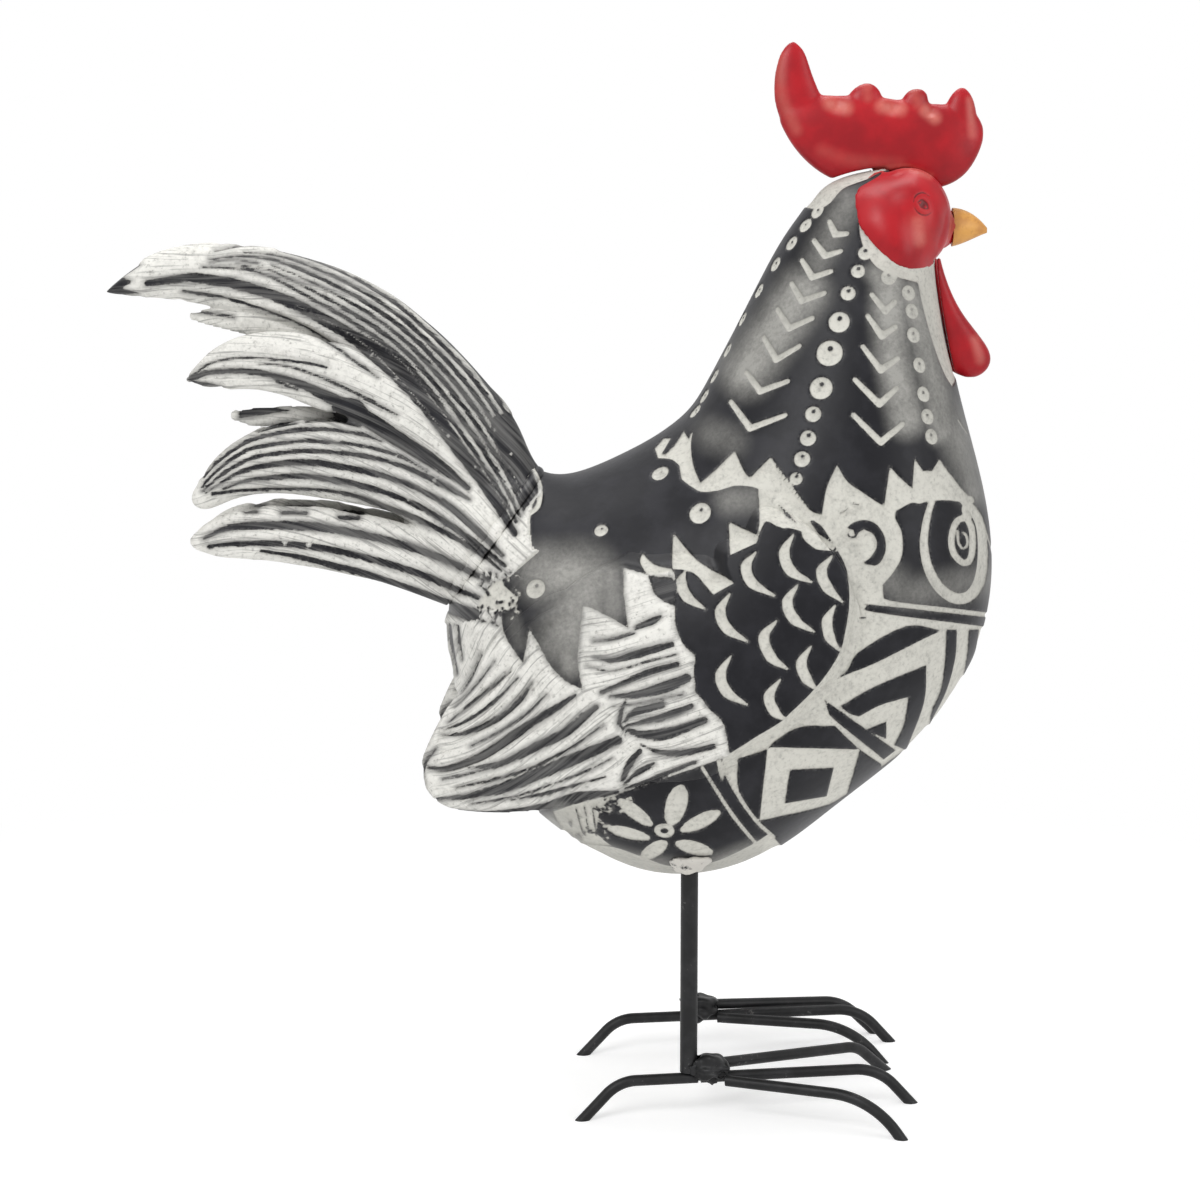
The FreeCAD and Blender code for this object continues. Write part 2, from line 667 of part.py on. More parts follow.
def build():
    """Every node's shape by name."""
    form = body_form()
    face = face_form()
    entries = {name: belly_entry(side, form) for name, side in SIDES.items()}
    nodes = {}
    nodes["body_shell"] = body_shell(form, face, entries.values())
    nodes["comb"] = comb_form().cut([form, face]).fuse([comb_peg()])
    nodes["beak"] = beak_form().cut([face]).fuse([beak_peg()])
    nodes["face"] = face.fuse([face_peg()]).cut([comb_peg(GLUE_GAP), beak_peg(GLUE_GAP)])
    nodes["wattle_left"] = wattle_form().cut([form, face])
    nodes["wattle_right"] = mirrored(nodes["wattle_left"])
    nodes["wing_left"] = wing_form(form)
    nodes["wing_right"] = mirrored(nodes["wing_left"])
    tail = tail_form().cut([form])
    nodes["tail"] = tail.fuse([tail_plug()])
    nodes["tail_filler"] = filler_form().cut([form, tail])
    for name, entry in entries.items():
        nodes["leg_" + name] = leg_form(entry)
        nodes["leg_collar_" + name] = leg_collar(entry, form)
        for toe in TOE_TURNS[name]:
            nodes[f"toe_{toe}_{name}"] = toe_form(name, toe)
        nodes["weld_bead_" + name] = weld_bead(name, entry)
    return nodes


def main():
    os.makedirs("parts", exist_ok=True)
    for name, shape in build().items():
        shape.exportStep(f"parts/{name}.step")


main()
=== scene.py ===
"""Looks of a standing rooster ornament: black cast body, rubbed white pattern, red head, wire legs."""
import math
import random

import bmesh
import bpy
import numpy as np
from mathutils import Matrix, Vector
from mathutils.bvhtree import BVHTree


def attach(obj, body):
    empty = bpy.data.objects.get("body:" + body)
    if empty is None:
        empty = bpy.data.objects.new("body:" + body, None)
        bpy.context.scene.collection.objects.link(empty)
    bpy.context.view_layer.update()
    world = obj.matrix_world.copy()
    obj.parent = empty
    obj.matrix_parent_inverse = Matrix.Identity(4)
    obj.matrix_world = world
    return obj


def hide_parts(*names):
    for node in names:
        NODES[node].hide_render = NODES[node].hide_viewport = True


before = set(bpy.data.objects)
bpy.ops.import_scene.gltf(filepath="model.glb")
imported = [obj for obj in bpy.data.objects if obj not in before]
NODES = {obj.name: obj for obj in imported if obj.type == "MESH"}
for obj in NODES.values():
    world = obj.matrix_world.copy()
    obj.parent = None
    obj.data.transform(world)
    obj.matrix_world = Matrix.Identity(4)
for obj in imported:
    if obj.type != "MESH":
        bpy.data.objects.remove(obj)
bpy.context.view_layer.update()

MM = 0.001
# Stands in for zero where something is divided by it
TINY = 1e-9
# More mm or px than any piece measures
FAR_OFF = 1e9
SIDES = ("right", "left")
# On the right of everything, in m
BESIDE = -0.2

# The camera, fitted to the photograph, which is 1200 pixels wide and high
VIEWPOINT = Vector((0.0144, -0.750, 0.249))
PITCH = math.radians(7.85)
FOCAL_PX = 2588
MIDDLE_PX = 600
PICTURE_PX = 1200
FILM_MM = 36
FORWARD = Vector((0, math.cos(PITCH), -math.sin(PITCH)))
UPWARD = Vector((0, math.sin(PITCH), math.cos(PITCH)))
SIDEWAYS = Vector((1, 0, 0))

# What a pixel of the photograph measures at the ornament, and the least it measures anywhere on it
PIXEL_MM = 0.285
LEAST_PIXEL_MM = 0.25

# The height field reaches this many pixels past the lines, and spreads each over a few pixels
GRID_MARGIN = 30
GRID_BLUR = 3

# Enlarged views of the photograph: the pixel at their corner and how many times they enlarge it
NECK_VIEW = (640, 160, 4.238)
WING_VIEW = (640, 420, 4.238)
BREAST_VIEW = (680, 560, 4.9)
RUMP_VIEW = (400, 560, 4.238)
TAIL_VIEW = (90, 220, 3.336)
PHOTO_VIEW = (0, 0, 1)
# What a pixel of the enlarged rump measures
RUMP_PIXEL_MM = PIXEL_MM / RUMP_VIEW[2]

# Distance between the points of a piece's even mesh, in mm
BODY_VOXEL = 0.725
WING_VOXEL = 0.6
TAIL_VOXEL = 0.62
SEAM_VOXEL = 0.5
RED_VOXEL = 0.42
LUMP_VOXEL = 0.35

# Relief, in mm: how deep the pattern is cut, how far the middle of a raised white stands up, and how far
# the middle of a sunk one lies down
CUT = 0.5
TAIL_CUT = 0.45
RED_CUT = 0.35
SEAM_CUT = 0.2
CREST = 0.55
BOWL = 0.35

# How far inside a white's edge, in mm, the step of the cut begins and ends, and a crest and a bowl are full
STEP_BEGINS = -0.25
STEP_ENDS = 0.45
CREST_FULL = 2.4
BOWL_FULL = 3.0

# The wing's edge slopes down under the flank above a row of the photograph or in front of a column, which
# both blend in over some pixels. It slopes from near the wing's outlines to a distance outside them, in mm.
# Then how far under the flank it ends, and the painted grey sheen that it gets against the shade of that
# slope
SLOPE_ROW = 575
SLOPE_COLUMN = 705
SLOPE_BLEND = 25
SLOPE_FROM = 0.2
SLOPE_TO = 5.0
SETTLE_DEPTH = 0.9 * MM
EDGE_SHEEN = 0.04
# Some pieces are scaled from their solids about a place, by shares along x, y and z: the tail's seam and
# the welds come out smaller, the collars lower and wider. A weld's place lies behind its middle
SEAM_SHARES = (0.93, 1.0, 0.93)
WELD_SHARES = (0.72, 0.9, 0.88)
WELD_MIDDLE = np.array((-1.6 * MM, 0, 0))
COLLAR_SHARES = (1.1, 1.1, 0.66)
# Lumps are the sum of this many waves in random directions
LUMP_WAVES = 14


def pixels(view, places):
    """Places in an enlarged view, as pixels of the photograph."""
    left, top, enlarged = view
    return [(left + x / enlarged, top + y / enlarged) for x, y in places]


def seen_at(points):
    """Points moved to the near side, the photograph's pixels where they show, and a pixel's size there.

    The points and the size are in m.
    """
    near = np.array(points, float)
    near[:, 1] = -np.abs(near[:, 1])
    away = near - np.array(VIEWPOINT)
    depth = away @ np.array(FORWARD)
    across = away @ np.array(SIDEWAYS)
    up = away @ np.array(UPWARD)
    places = np.stack([MIDDLE_PX + FOCAL_PX * across / depth, MIDDLE_PX - FOCAL_PX * up / depth], 1)
    return near, places, depth / FOCAL_PX


def sight_line(place):
    """The direction from the camera through a pixel."""
    across = SIDEWAYS * ((place[0] - MIDDLE_PX) / FOCAL_PX)
    up = UPWARD * ((MIDDLE_PX - place[1]) / FOCAL_PX)
    return (FORWARD + across + up).normalized()


def smooth_line(places, steps=6):
    """A curve through places, as a denser list of them."""
    pts = [np.array(p, float) for p in places]
    if len(pts) < 3:
        return [pts[0] + (pts[-1] - pts[0]) * i / steps for i in range(steps + 1)]
    padded = [2 * pts[0] - pts[1]] + pts + [2 * pts[-1] - pts[-2]]
    found = []
    for a, b, c, d in zip(padded, padded[1:], padded[2:], padded[3:]):
        for i in range(steps):
            t = i / steps
            square = (2 * a - 5 * b + 4 * c - d) * t * t
            cube = (3 * b - a - 3 * c + d) * t ** 3
            found.append(sum((2 * b, (c - a) * t, square, cube)) / 2)
    return found + [pts[-1]]


def rounded(outline, sharp=0.75):
    """An outline whose gentle turns are curves and whose sharp ones, in radians, stay corners."""
    pts = [np.array(p, float) for p in outline]
    count = len(pts)
    turns = []
    for before, here, after in zip(pts[-1:] + pts, pts, pts[1:] + pts[:1]):
        first, second = here - before, after - here
        cosine = first @ second / max(np.linalg.norm(first) * np.linalg.norm(second), TINY)
        turns.append(math.acos(max(-1, min(1, cosine))))
    stops = [i for i in range(count) if turns[i] > sharp] or [0]
    found = []
    for start, end in zip(stops, stops[1:] + [stops[0] + count]):
        run = [pts[i % count] for i in range(start, end + 1)]
        found += run[:1] if len(run) == 2 else smooth_line(run, 5)[:-1]
    return found


def gap_to(spots, start, end):
    """How far spots are from a straight run, and at which share of the run they are nearest."""
    run = end - start
    along = np.clip((spots - start) @ run / max(run @ run, TINY), 0, 1)
    return np.linalg.norm(spots - start - along[:, None] * run, axis=1), along


def level_field(lines, upstream, step=2.0):
    """A height over the photograph, level along the lines, that rises by one for each pixel across them.

    The direction of the lines is spread to a grid, and the height whose slope fits it best is found at once
    for the whole grid, with Fourier sums over the grid and its mirror images.
    """
    lines = [np.array(smooth_line(line, 3)) for line in lines]
    starts = np.concatenate([line[:-1] for line in lines])
    runs = np.concatenate([np.diff(line, axis=0) for line in lines])
    low = starts.min(0) - GRID_MARGIN
    columns, rows = np.ceil((starts.max(0) + GRID_MARGIN - low) / step).astype(int)
    across, down = np.meshgrid(np.arange(columns) * step + low[0], np.arange(rows) * step + low[1])
    way = np.zeros((2, rows, columns))
    for start, run in zip(starts, runs):
        length = max(math.hypot(*run), 1e-6)
        turn = run / length if run @ upstream > 0 else -run / length
        gap = (across - start[0] - run[0] / 2) ** 2 + (down - start[1] - run[1] / 2) ** 2
        near = length / (gap + GRID_BLUR ** 2) ** 1.5
        way += near * turn[:, None, None]
    way /= np.hypot(*way) + 1e-12
    fall = np.zeros((rows, columns))
    rise = (way[1][:, 1:] + way[1][:, :-1]) / -2 * step
    fall[:, :-1] += rise
    fall[:, 1:] -= rise
    rise = (way[0][1:] + way[0][:-1]) / 2 * step
    fall[:-1] += rise
    fall[1:] -= rise
    whole = np.block([[fall, fall[:, ::-1]], [fall[::-1], fall[::-1, ::-1]]])
    bends = [2 * np.cos(2 * np.pi * np.fft.fftfreq(count)) - 2 for count in whole.shape]
    scale = bends[0][:, None] + bends[1][None]
    scale[0, 0] = 1
    height = np.fft.ifft2(np.fft.fft2(whole) / scale).real[:rows, :columns]
    return low, height


def eased(value, low, high):
    """0 below low, 1 above high, and a smooth step between them."""
    t = np.clip((value - low) / (high - low), 0, 1)
    return t * t * (3 - 2 * t)


class Pattern:
    """White on black over the points of a surface.

    wash is the distance from the edge in mm, above zero in the white. The grey field holds how much grey
    there is, partly painted sheen and partly dry-brush rub; raised is 1 where the white stands up, grain is
    the distance across the feathers, in mm, and sunk is how far the surface lies down, in mm.
    """

    # The largest distance from an edge that is kept, in mm
    FAR = 3.0

    def __init__(self, points, surface=None):
        self.near, self.places, self.pixel = seen_at(points)
        self.pixel = self.pixel / MM
        self.surface = surface
        self.wash = np.full(len(points), -self.FAR)
        self.sheen_and_rub = np.zeros(len(points))
        self.raised = np.zeros(len(points))
        self.grain = np.zeros(len(points))
        self.sunk = np.zeros(len(points))

    def lay(self, where, inside, white):
        """Adds a white mark, or a black one, to the points that it reaches."""
        inside = np.clip(inside, -self.FAR, self.FAR)
        old = self.wash[where]
        self.wash[where] = np.maximum(old, inside) if white else np.minimum(old, -inside)

    def on_surface(self, place):
        """The point of the surface under a pixel."""
        ray = sight_line(place)
        hit = self.surface.ray_cast(VIEWPOINT, ray)[0]
        if hit is None:
            middle = VIEWPOINT + ray * (-VIEWPOINT.y / ray.y)
            hit = self.surface.find_nearest(middle)[0]
        return np.array((hit.x, -abs(hit.y), hit.z))

    def distance(self, line, widths, reach, solid):
        """How deep inside a line of changing width the points are, in mm, and which points are near it."""
        field = self.near / MM if solid else self.places
        line = [self.on_surface(p) / MM for p in line] if solid else line
        line = np.array(line)
        low, high = line.min(0) - reach, line.max(0) + reach
        where = np.nonzero(np.all((field > low) & (field < high), 1))[0]
        best = np.full(len(where), -FAR_OFF)
        spots = field[where]
        scale = 1 if solid else self.pixel[where]
        for k in range(len(line) - 1):
            gap, along = gap_to(spots, line[k], line[k + 1])
            half = (widths[k] + (widths[k + 1] - widths[k]) * along) / 2
            best = np.maximum(best, half - gap * scale)
        return where, best

    def stroke(self, view, places, widths, white=True, solid=False):
        """A line whose width runs through the widths, in mm.

        A solid one keeps its width where the surface turns away from the camera.
        """
        line = smooth_line(pixels(view, places))
        steps = np.linspace(0, 1, len(line))
        wide = np.interp(steps, np.linspace(0, 1, len(widths)), widths)
        reach = self.FAR + max(widths) if solid else (self.FAR + max(widths)) / LEAST_PIXEL_MM
        where, inside = self.distance(line, wide, reach, solid)
        self.lay(where, inside, white)

    def dot(self, view, place, radius, white=True, shift=(0, 0)):
        """A round spot, radius in mm, on the surface under a place."""
        where_at = self.on_surface(pixels(view, [place])[0]) / MM
        where_at = where_at + np.array((shift[0], 0, shift[1]))
        gap = np.linalg.norm(self.near / MM - where_at, axis=1)
        where = np.nonzero(gap < radius + self.FAR)[0]
        self.lay(where, radius - gap[where], white)

    def area_depth(self, outline):
        """How deep inside an outline the points are, in mm."""
        outline = np.array(outline)
        reach = self.FAR / LEAST_PIXEL_MM
        low, high = outline.min(0) - reach, outline.max(0) + reach
        where = np.nonzero(np.all((self.places > low) & (self.places < high), 1))[0]
        spots = self.places[where]
        gap = np.full(len(where), FAR_OFF)
        inside = np.zeros(len(where), bool)
        for start, end in zip(outline, np.roll(outline, -1, 0)):
            gap = np.minimum(gap, gap_to(spots, start, end)[0])
            crosses = (start[1] > spots[:, 1]) != (end[1] > spots[:, 1])
            drop = end[1] - start[1] if end[1] != start[1] else TINY
            share = (spots[:, 1] - start[1]) / drop
            inside ^= crosses & (spots[:, 0] < start[0] + share * (end[0] - start[0]))
        return where, np.where(inside, gap, -gap) * self.pixel[where]

    def depth_in(self, outline):
        """How deep inside an outline every point is, in mm, far below zero where none is near it."""
        depth = np.full(len(self.places), -FAR_OFF)
        where, inside = self.area_depth(outline)
        depth[where] = inside
        return depth

    def area(self, view, outline, white=True):
        """Fills an outline."""
        where, inside = self.area_depth(rounded(pixels(view, outline)))
        self.lay(where, inside, white)

    def raise_area(self, view, outline):
        """Inside this outline the black is cut in and the white stands; elsewhere the white is cut in."""
        where, inside = self.area_depth(rounded(pixels(view, outline)))
        self.raised[where] = np.maximum(self.raised[where], eased(inside, -0.5, 0.5))

    def comb_along(self, view, curves, upstream, step=2.0):
        """Gives each point its distance across the curves, in mm, so that streaks can run along them."""
        low, height = level_field([pixels(view, places) for places in curves], np.array(upstream), step)
        spot = np.clip((self.places - low) / step, 0, np.array(height.shape[::-1]) - 1.001)
        x, y = spot.astype(int).T
        right, under = (spot - spot.astype(int)).T
        above = height[y, x] * (1 - right) + height[y, x + 1] * right
        below = height[y + 1, x] * (1 - right) + height[y + 1, x + 1] * right
        self.grain = (above * (1 - under) + below * under) * self.pixel

    def lay_sheen_and_rub(self, view, places, width, strength):
        """A soft painted grey sheen, partly dry-brush rub, laid along a line."""
        line = smooth_line(pixels(view, places))
        where, inside = self.distance(line, [0] * len(line), width / LEAST_PIXEL_MM, False)
        amount = strength * eased(width + inside, 0, width)
        self.sheen_and_rub[where] = np.maximum(self.sheen_and_rub[where], amount)


# Body and wing pattern, in the order that it is laid: later marks cover earlier ones
RIB_FIELD = (
    (185, 200), (430, 215), (440, 310), (520, 435), (548, 290), (580, 345), (640, 450), (700, 510),
    (772, 547), (752, 420), (775, 190), (850, 220), (965, 287), (948, 150), (943, 28), (1060, 60),
    (1160, 45), (1170, 110), (1165, 200), (1200, 330), (1255, 400), (1250, 560), (1375, 690), (1400, 830),
    (1290, 870), (1200, 900), (930, 990), (700, 1040), (350, 1110), (150, 1050), (60, 960), (60, 880),
    (130, 740), (220, 500), (175, 300),
)
SADDLE_LOBE = ((1055, 68), (1150, 72), (1172, 110), (1160, 192), (1085, 150))
RUMP_PALE = ((640, 1050), (930, 990), (850, 1060), (830, 1160), (900, 1215), (760, 1200), (680, 1130))
FLOWER_FIELD = (
    (925, 1000), (1100, 950), (1290, 890), (1330, 900), (1420, 1080), (1500, 1200), (1300, 1280),
    (1130, 1290), (1030, 1255), (900, 1215), (830, 1160), (850, 1060),
)
FLOWER_PETALS = (
    ((935, 1025), (1060, 1120), 55),
    ((1190, 975), (1150, 1110), 88),
    ((1345, 1075), (1200, 1145), 58),
    ((890, 1140), (1050, 1180), 46),
    ((1120, 1205), (1030, 1260), 60),
    ((1180, 1205), (1315, 1240), 56),
)
FLOWER_MIDDLE = (1120, 1150)
PETAL_SHARES = (0.5, 0.85, 1, 1, 0.95, 0.8, 0.45)
CHIP_LENGTH = 22
RUMP_CHIPS = (((700, 1060), (900, 1190)), ((840, 1010), (980, 1080)))
BELLY_RIM = (
    (690, 1130), (760, 1200), (900, 1218), (1030, 1262), (1150, 1300), (1320, 1285), (1480, 1215),
    (1568, 1160), (1700, 1300), (1500, 1450), (900, 1450), (650, 1250),
)
RIB_GROOVES = (
    (((205, 215), (212, 330), (240, 480)), (8, 14, 6)),
    (((240, 240), (248, 340), (262, 420)), (6, 12, 3)),
    (((262, 560), (300, 500), (345, 400)), (2, 7, 2)),
    (((235, 620), (320, 530), (400, 430)), (2, 7, 2)),
    (((205, 690), (300, 610), (400, 530), (470, 470)), (2, 8, 8, 2)),
    (((190, 720), (300, 670), (400, 600), (500, 500)), (3, 12, 14, 3)),
    (((175, 742), (270, 735), (400, 680), (500, 600), (560, 520)), (4, 14, 20, 16, 4)),
    (((300, 790), (420, 730), (540, 650), (620, 570)), (2, 9, 9, 2)),
    (((120, 880), (200, 885), (350, 830), (500, 730), (640, 640), (740, 575)), (10, 18, 30, 34, 26, 12)),
    (((180, 930), (320, 900), (480, 850), (640, 760), (770, 650)), (2, 8, 8, 8, 3)),
    (((290, 880), (420, 865), (560, 800), (700, 730), (830, 625)), (3, 20, 36, 38, 18)),
    (((240, 965), (400, 930), (560, 880), (720, 800), (860, 700)), (2, 7, 9, 9, 3)),
    (((150, 1015), (300, 1000), (450, 960), (600, 900), (750, 840), (920, 765)), (6, 24, 46, 48, 46, 34)),
    (((300, 1035), (480, 1005), (650, 950), (800, 890), (900, 840)), (2, 7, 8, 7, 2)),
    (((470, 1020), (600, 995), (750, 955), (870, 920)), (2, 16, 12, 2)),
    (((90, 905), (105, 985), (170, 1050), (250, 1078), (400, 1085), (600, 1058), (750, 1010), (925, 985)),
     (10, 14, 24, 34, 38, 44, 46, 10)),
    (((150, 800), (110, 850), (92, 900)), (4, 12, 14)),
    (((820, 345), (900, 336), (990, 310)), (3, 10, 5)),
    (((1000, 285), (1060, 262), (1105, 240)), (12, 26, 10)),
    (((825, 415), (900, 425), (1000, 400), (1150, 358)), (3, 18, 30, 22)),
    (((790, 450), (900, 470), (1050, 430), (1170, 400)), (2, 5, 6, 2)),
    (((855, 560), (950, 520), (1060, 475), (1175, 445)), (12, 18, 24, 22)),
    (((890, 578), (1000, 572), (1120, 540), (1215, 500)), (4, 28, 46, 34)),
    (((900, 620), (1000, 610), (1200, 570)), (2, 5, 2)),
    (((945, 690), (1000, 645), (1110, 612)), (6, 30, 26)),
    (((950, 705), (1060, 680), (1160, 650), (1235, 618)), (4, 24, 30, 16)),
    (((945, 715), (1030, 742), (1130, 735), (1290, 680)), (8, 30, 44, 24)),
    (((1020, 785), (1100, 815), (1200, 820), (1330, 790)), (4, 20, 28, 16)),
    (((942, 935), (970, 870), (1015, 810)), (14, 30, 18)),
    (((950, 950), (1010, 900), (1075, 865)), (4, 24, 12)),
    (((955, 970), (1050, 940), (1120, 910), (1250, 858)), (6, 18, 20, 14)),
    (((950, 985), (1100, 962), (1260, 890)), (10, 10, 8)),
    (((955, 600), (935, 650), (932, 700), (960, 735)), (10, 14, 16, 4)),
    (((745, 1060), (770, 1150)), (5, 5)),
    (((780, 1050), (800, 1160)), (5, 5)),
    (((815, 1060), (830, 1170)), (5, 5)),
)

HACKLE_EDGE = (
    (62, 120), (75, 160), (130, 165), (165, 190), (175, 250), (215, 280), (260, 303), (330, 298),
    (400, 278), (460, 280), (500, 290), (505, 400), (498, 480), (495, 520), (520, 480), (545, 430),
    (600, 450), (680, 470), (760, 520), (830, 560), (790, 440), (770, 405), (720, 380), (650, 310),
    (600, 240), (555, 155), (465, 245), (440, 215), (400, 128), (330, 200), (255, 265), (225, 190),
    (215, 110), (222, 45), (205, 80), (185, 45), (150, 100), (105, 145), (92, 140), (130, 75), (100, 75),
)
BREAST_FIELD = (
    (555, 155), (600, 240), (650, 310), (720, 380), (770, 405), (790, 290), (835, 190), (880, 260),
    (950, 310), (1035, 365), (1060, 195), (1100, 240), (1155, 290), (1165, 160), (1200, 215), (1240, 215),
    (1270, 165), (1340, 260), (1440, 390), (1500, 600), (1490, 850), (1420, 1050), (1270, 1290),
    (1110, 1410), (1000, 1490), (900, 1568), (700, 1640), (400, 1640), (340, 1400), (380, 1415),
    (490, 1345), (640, 1240), (790, 1080), (870, 900), (885, 700), (830, 540),
)
BREAST_DARKS = (
    ((1085, 385), (1150, 352), (1185, 355), (1220, 345), (1300, 340), (1345, 345), (1420, 350),
     (1500, 600), (1490, 818), (1300, 795), (1100, 772), (1035, 757), (1030, 700), (1080, 640),
     (1112, 570), (1112, 480), (1085, 420)),
    ((878, 458), (905, 435), (950, 424), (1000, 440), (1035, 490), (1042, 545), (1025, 595), (1000, 618),
     (942, 608), (975, 585), (1000, 550), (1003, 510), (985, 480), (950, 462), (925, 478), (918, 500),
     (905, 465)),
    ((960, 790), (1000, 785), (1480, 838), (1480, 878), (1000, 815)),
    ((835, 1098), (880, 1060), (935, 980), (1130, 875), (1280, 893), (1200, 930), (1000, 1030),
     (900, 1070)),
    ((850, 1215), (1000, 1130), (1215, 1040), (1205, 1200), (1130, 1400), (1080, 1380), (1120, 1290),
     (1140, 1175), (1020, 1210), (930, 1258), (890, 1245)),
    ((955, 1315), (1045, 1280), (1045, 1352)),
    ((1300, 890), (1345, 890), (1338, 1010), (1300, 1150), (1230, 1290), (1240, 1230), (1278, 1140),
     (1295, 1010)),
    ((1395, 890), (1440, 890), (1420, 990), (1375, 1080), (1390, 980)),
    ((785, 1190), (1085, 1402), (1035, 1440), (830, 1275), (800, 1235)),
)
BREAST_LINES = (
    (((1240, 340), (1215, 430), (1205, 530), (1225, 630), (1270, 710), (1335, 755), (1395, 748),
     (1438, 690), (1455, 590), (1450, 470), (1425, 400), (1385, 350), (1340, 320)), (6, 9, 11, 11, 9, 7)),
    (((1348, 470), (1352, 520), (1372, 545), (1390, 525), (1385, 490), (1370, 478)), (2.6,)),
    (((1395, 410), (1345, 430), (1322, 500), (1332, 565), (1372, 605), (1402, 590), (1412, 530),
     (1408, 460), (1385, 410)), (6.5,)),
    (((1400, 340), (1380, 380), (1395, 420)), (9, 7, 5)),
)
BREAST_THIN_DARKS = (
    (((880, 480), (893, 497), (915, 490), (918, 468)), (1.6,)),
    (((905, 352), (925, 358)), (1.2,)),
    (((935, 840), (955, 840)), (2,)),
    (((850, 395), (880, 375)), (1,)),
)
BELLY_BLACK = (
    (285, 975), (420, 930), (480, 880), (590, 820), (760, 815), (870, 920), (990, 1005), (960, 1060),
    (700, 1225), (420, 1312), (390, 1290), (290, 1130),
)
BELLY_SQUARE = ((430, 918), (885, 930), (820, 1150), (700, 1210), (390, 1280))
BELLY_SQUARE_MIDDLE = ((540, 1030), (755, 1020), (720, 1160), (515, 1195))
BAND_BLACK = ((150, 1000), (215, 1010), (300, 1170), (450, 1370), (370, 1420), (120, 1030))
BAND_LINES = (
    (((110, 1020), (250, 1240), (375, 1395)), (3.6, 4.0, 3.6)),
    (((195, 985), (270, 1130), (370, 1275), (460, 1360)), (3, 4, 4, 4)),
    (((190, 990), (205, 1040), (205, 1085)), (4, 6, 2)),
)
BLACK_PATCH = (
    (545, 430), (600, 452), (665, 465), (700, 478), (760, 510), (830, 552), (862, 620), (886, 700),
    (886, 800), (870, 900), (850, 980), (790, 1080), (720, 1155), (640, 1240), (590, 1285), (490, 1345),
    (380, 1415), (355, 1290), (290, 1220), (250, 1150), (228, 1080), (235, 1000), (185, 950), (155, 880),
    (150, 800), (160, 700), (175, 640), (230, 650), (310, 740), (400, 690), (375, 620), (375, 575),
    (495, 520), (510, 470), (530, 430),
)
CRESCENTS = (
    ((650, 485), (612, 560), (640, 640), (730, 688)),
    ((490, 560), (450, 620), (475, 690), (570, 745)),
    ((815, 575), (770, 640), (795, 710), (860, 772)),
    ((668, 700), (625, 770), (655, 845), (738, 898)),
    ((380, 735), (340, 810), (370, 885), (455, 938)),
    ((828, 785), (795, 850), (805, 920), (845, 975)),
    ((580, 850), (525, 920), (555, 1005), (625, 1055)),
    ((725, 960), (685, 1030), (705, 1095), (750, 1145)),
    ((385, 1000), (342, 1080), (370, 1155), (455, 1208)),
    ((595, 1100), (548, 1170), (570, 1235), (620, 1275)),
    ((190, 640), (175, 690), (200, 750), (275, 800)),
    ((545, 375), (570, 415), (610, 435), (655, 440)),
    ((685, 430), (710, 485), (755, 525), (825, 550)),
)
CRESCENT_WIDTHS = (2, 10.5, 10.5, 2.5)
WING_SLITS = (
    (((590, 360), (625, 400), (660, 430)), (1, 3, 1)),
    (((730, 430), (770, 470), (820, 515)), (3, 8, 3)),
)
SADDLE_WHITES = (
    ((375, 430), (500, 490), (495, 520), (380, 575)),
    ((140, 475), (240, 590), (400, 690), (310, 745), (250, 690), (200, 640), (135, 630)),
    ((10, 560), (60, 610), (135, 630), (140, 660), (30, 655), (0, 600)),
)

# Dots and chevrons of the neck. Large dots have their radius in pixels after their place, small ones share
# a radius in mm, and each has a black hole a little above its middle. A chevron widens towards its tip
SMALL_DOT = 2.25
SMALL_HOLE = 0.5
CHEVRON_WIDTHS = (1.5, 2.1)
MIDDLE_DOTS = (
    (865, 253, 7), (858, 271, 7), (848, 293, 7.5), (839, 322, 10.6), (829.5, 353, 13), (821, 388, 11.3),
    (813, 414, 8), (808, 438, 8), (802, 459, 8), (796, 478.5, 6.4),
)
NAPE_DOTS = (
    (817, 211), (805, 225), (791, 243), (775, 264), (758.5, 290.5), (742, 319), (727, 350), (714, 376),
    (704, 396), (695, 411),
)
FRONT_DOTS = (
    (889, 277), (909, 293), (912.5, 311), (914, 335), (920, 365), (924, 394), (928, 416.5), (932, 436.5),
)
SADDLE_DOTS = ((660, 473, 9), (700, 513, 11), (601, 530, 7), (535.5, 588.5, 10))
CHEVRONS = (
    ((829, 221), (835, 234), (846.5, 233.5)),
    ((813.5, 240), (825, 255.5), (840.5, 251)),
    ((801.5, 260), (812, 277), (831, 271)),
    ((791, 283), (801.5, 300.5), (824, 293)),
    ((777, 309), (789, 328), (812, 318)),
    ((763, 337), (776, 359.5), (799, 346)),
    ((746, 372), (760, 391), (787.5, 381)),
    ((730, 401), (750, 428), (785, 415)),
    ((872, 294.5), (885.5, 311), (895, 301.5)),
    ((868, 316), (882, 336), (896, 326.5)),
    ((863, 346.5), (881, 370), (898.5, 358)),
    ((855, 379.5), (879.5, 404), (897, 388)),
    ((853.5, 415), (881, 442), (903, 424)),
)
HEAD_PATCH = (
    (720, 60), (800, 20), (1040, -20), (1200, -20), (1200, 40), (1050, 40), (960, 80), (860, 120),
    (800, 185), (740, 205), (650, 190),
)
COLLAR = (
    (925, 250), (985, 305), (1040, 365), (1100, 415), (1180, 440), (1240, 410), (1340, 370), (1340, 880),
    (1325, 960), (1290, 900), (1245, 780), (1200, 620), (1180, 520), (1060, 485), (990, 440), (940, 350),
)
BREAST_DASHES = ((((1350, 0), (1390, 60)), (1.5, 1)), (((1330, 1070), (1395, 1150)), (1.2, 1.2)))
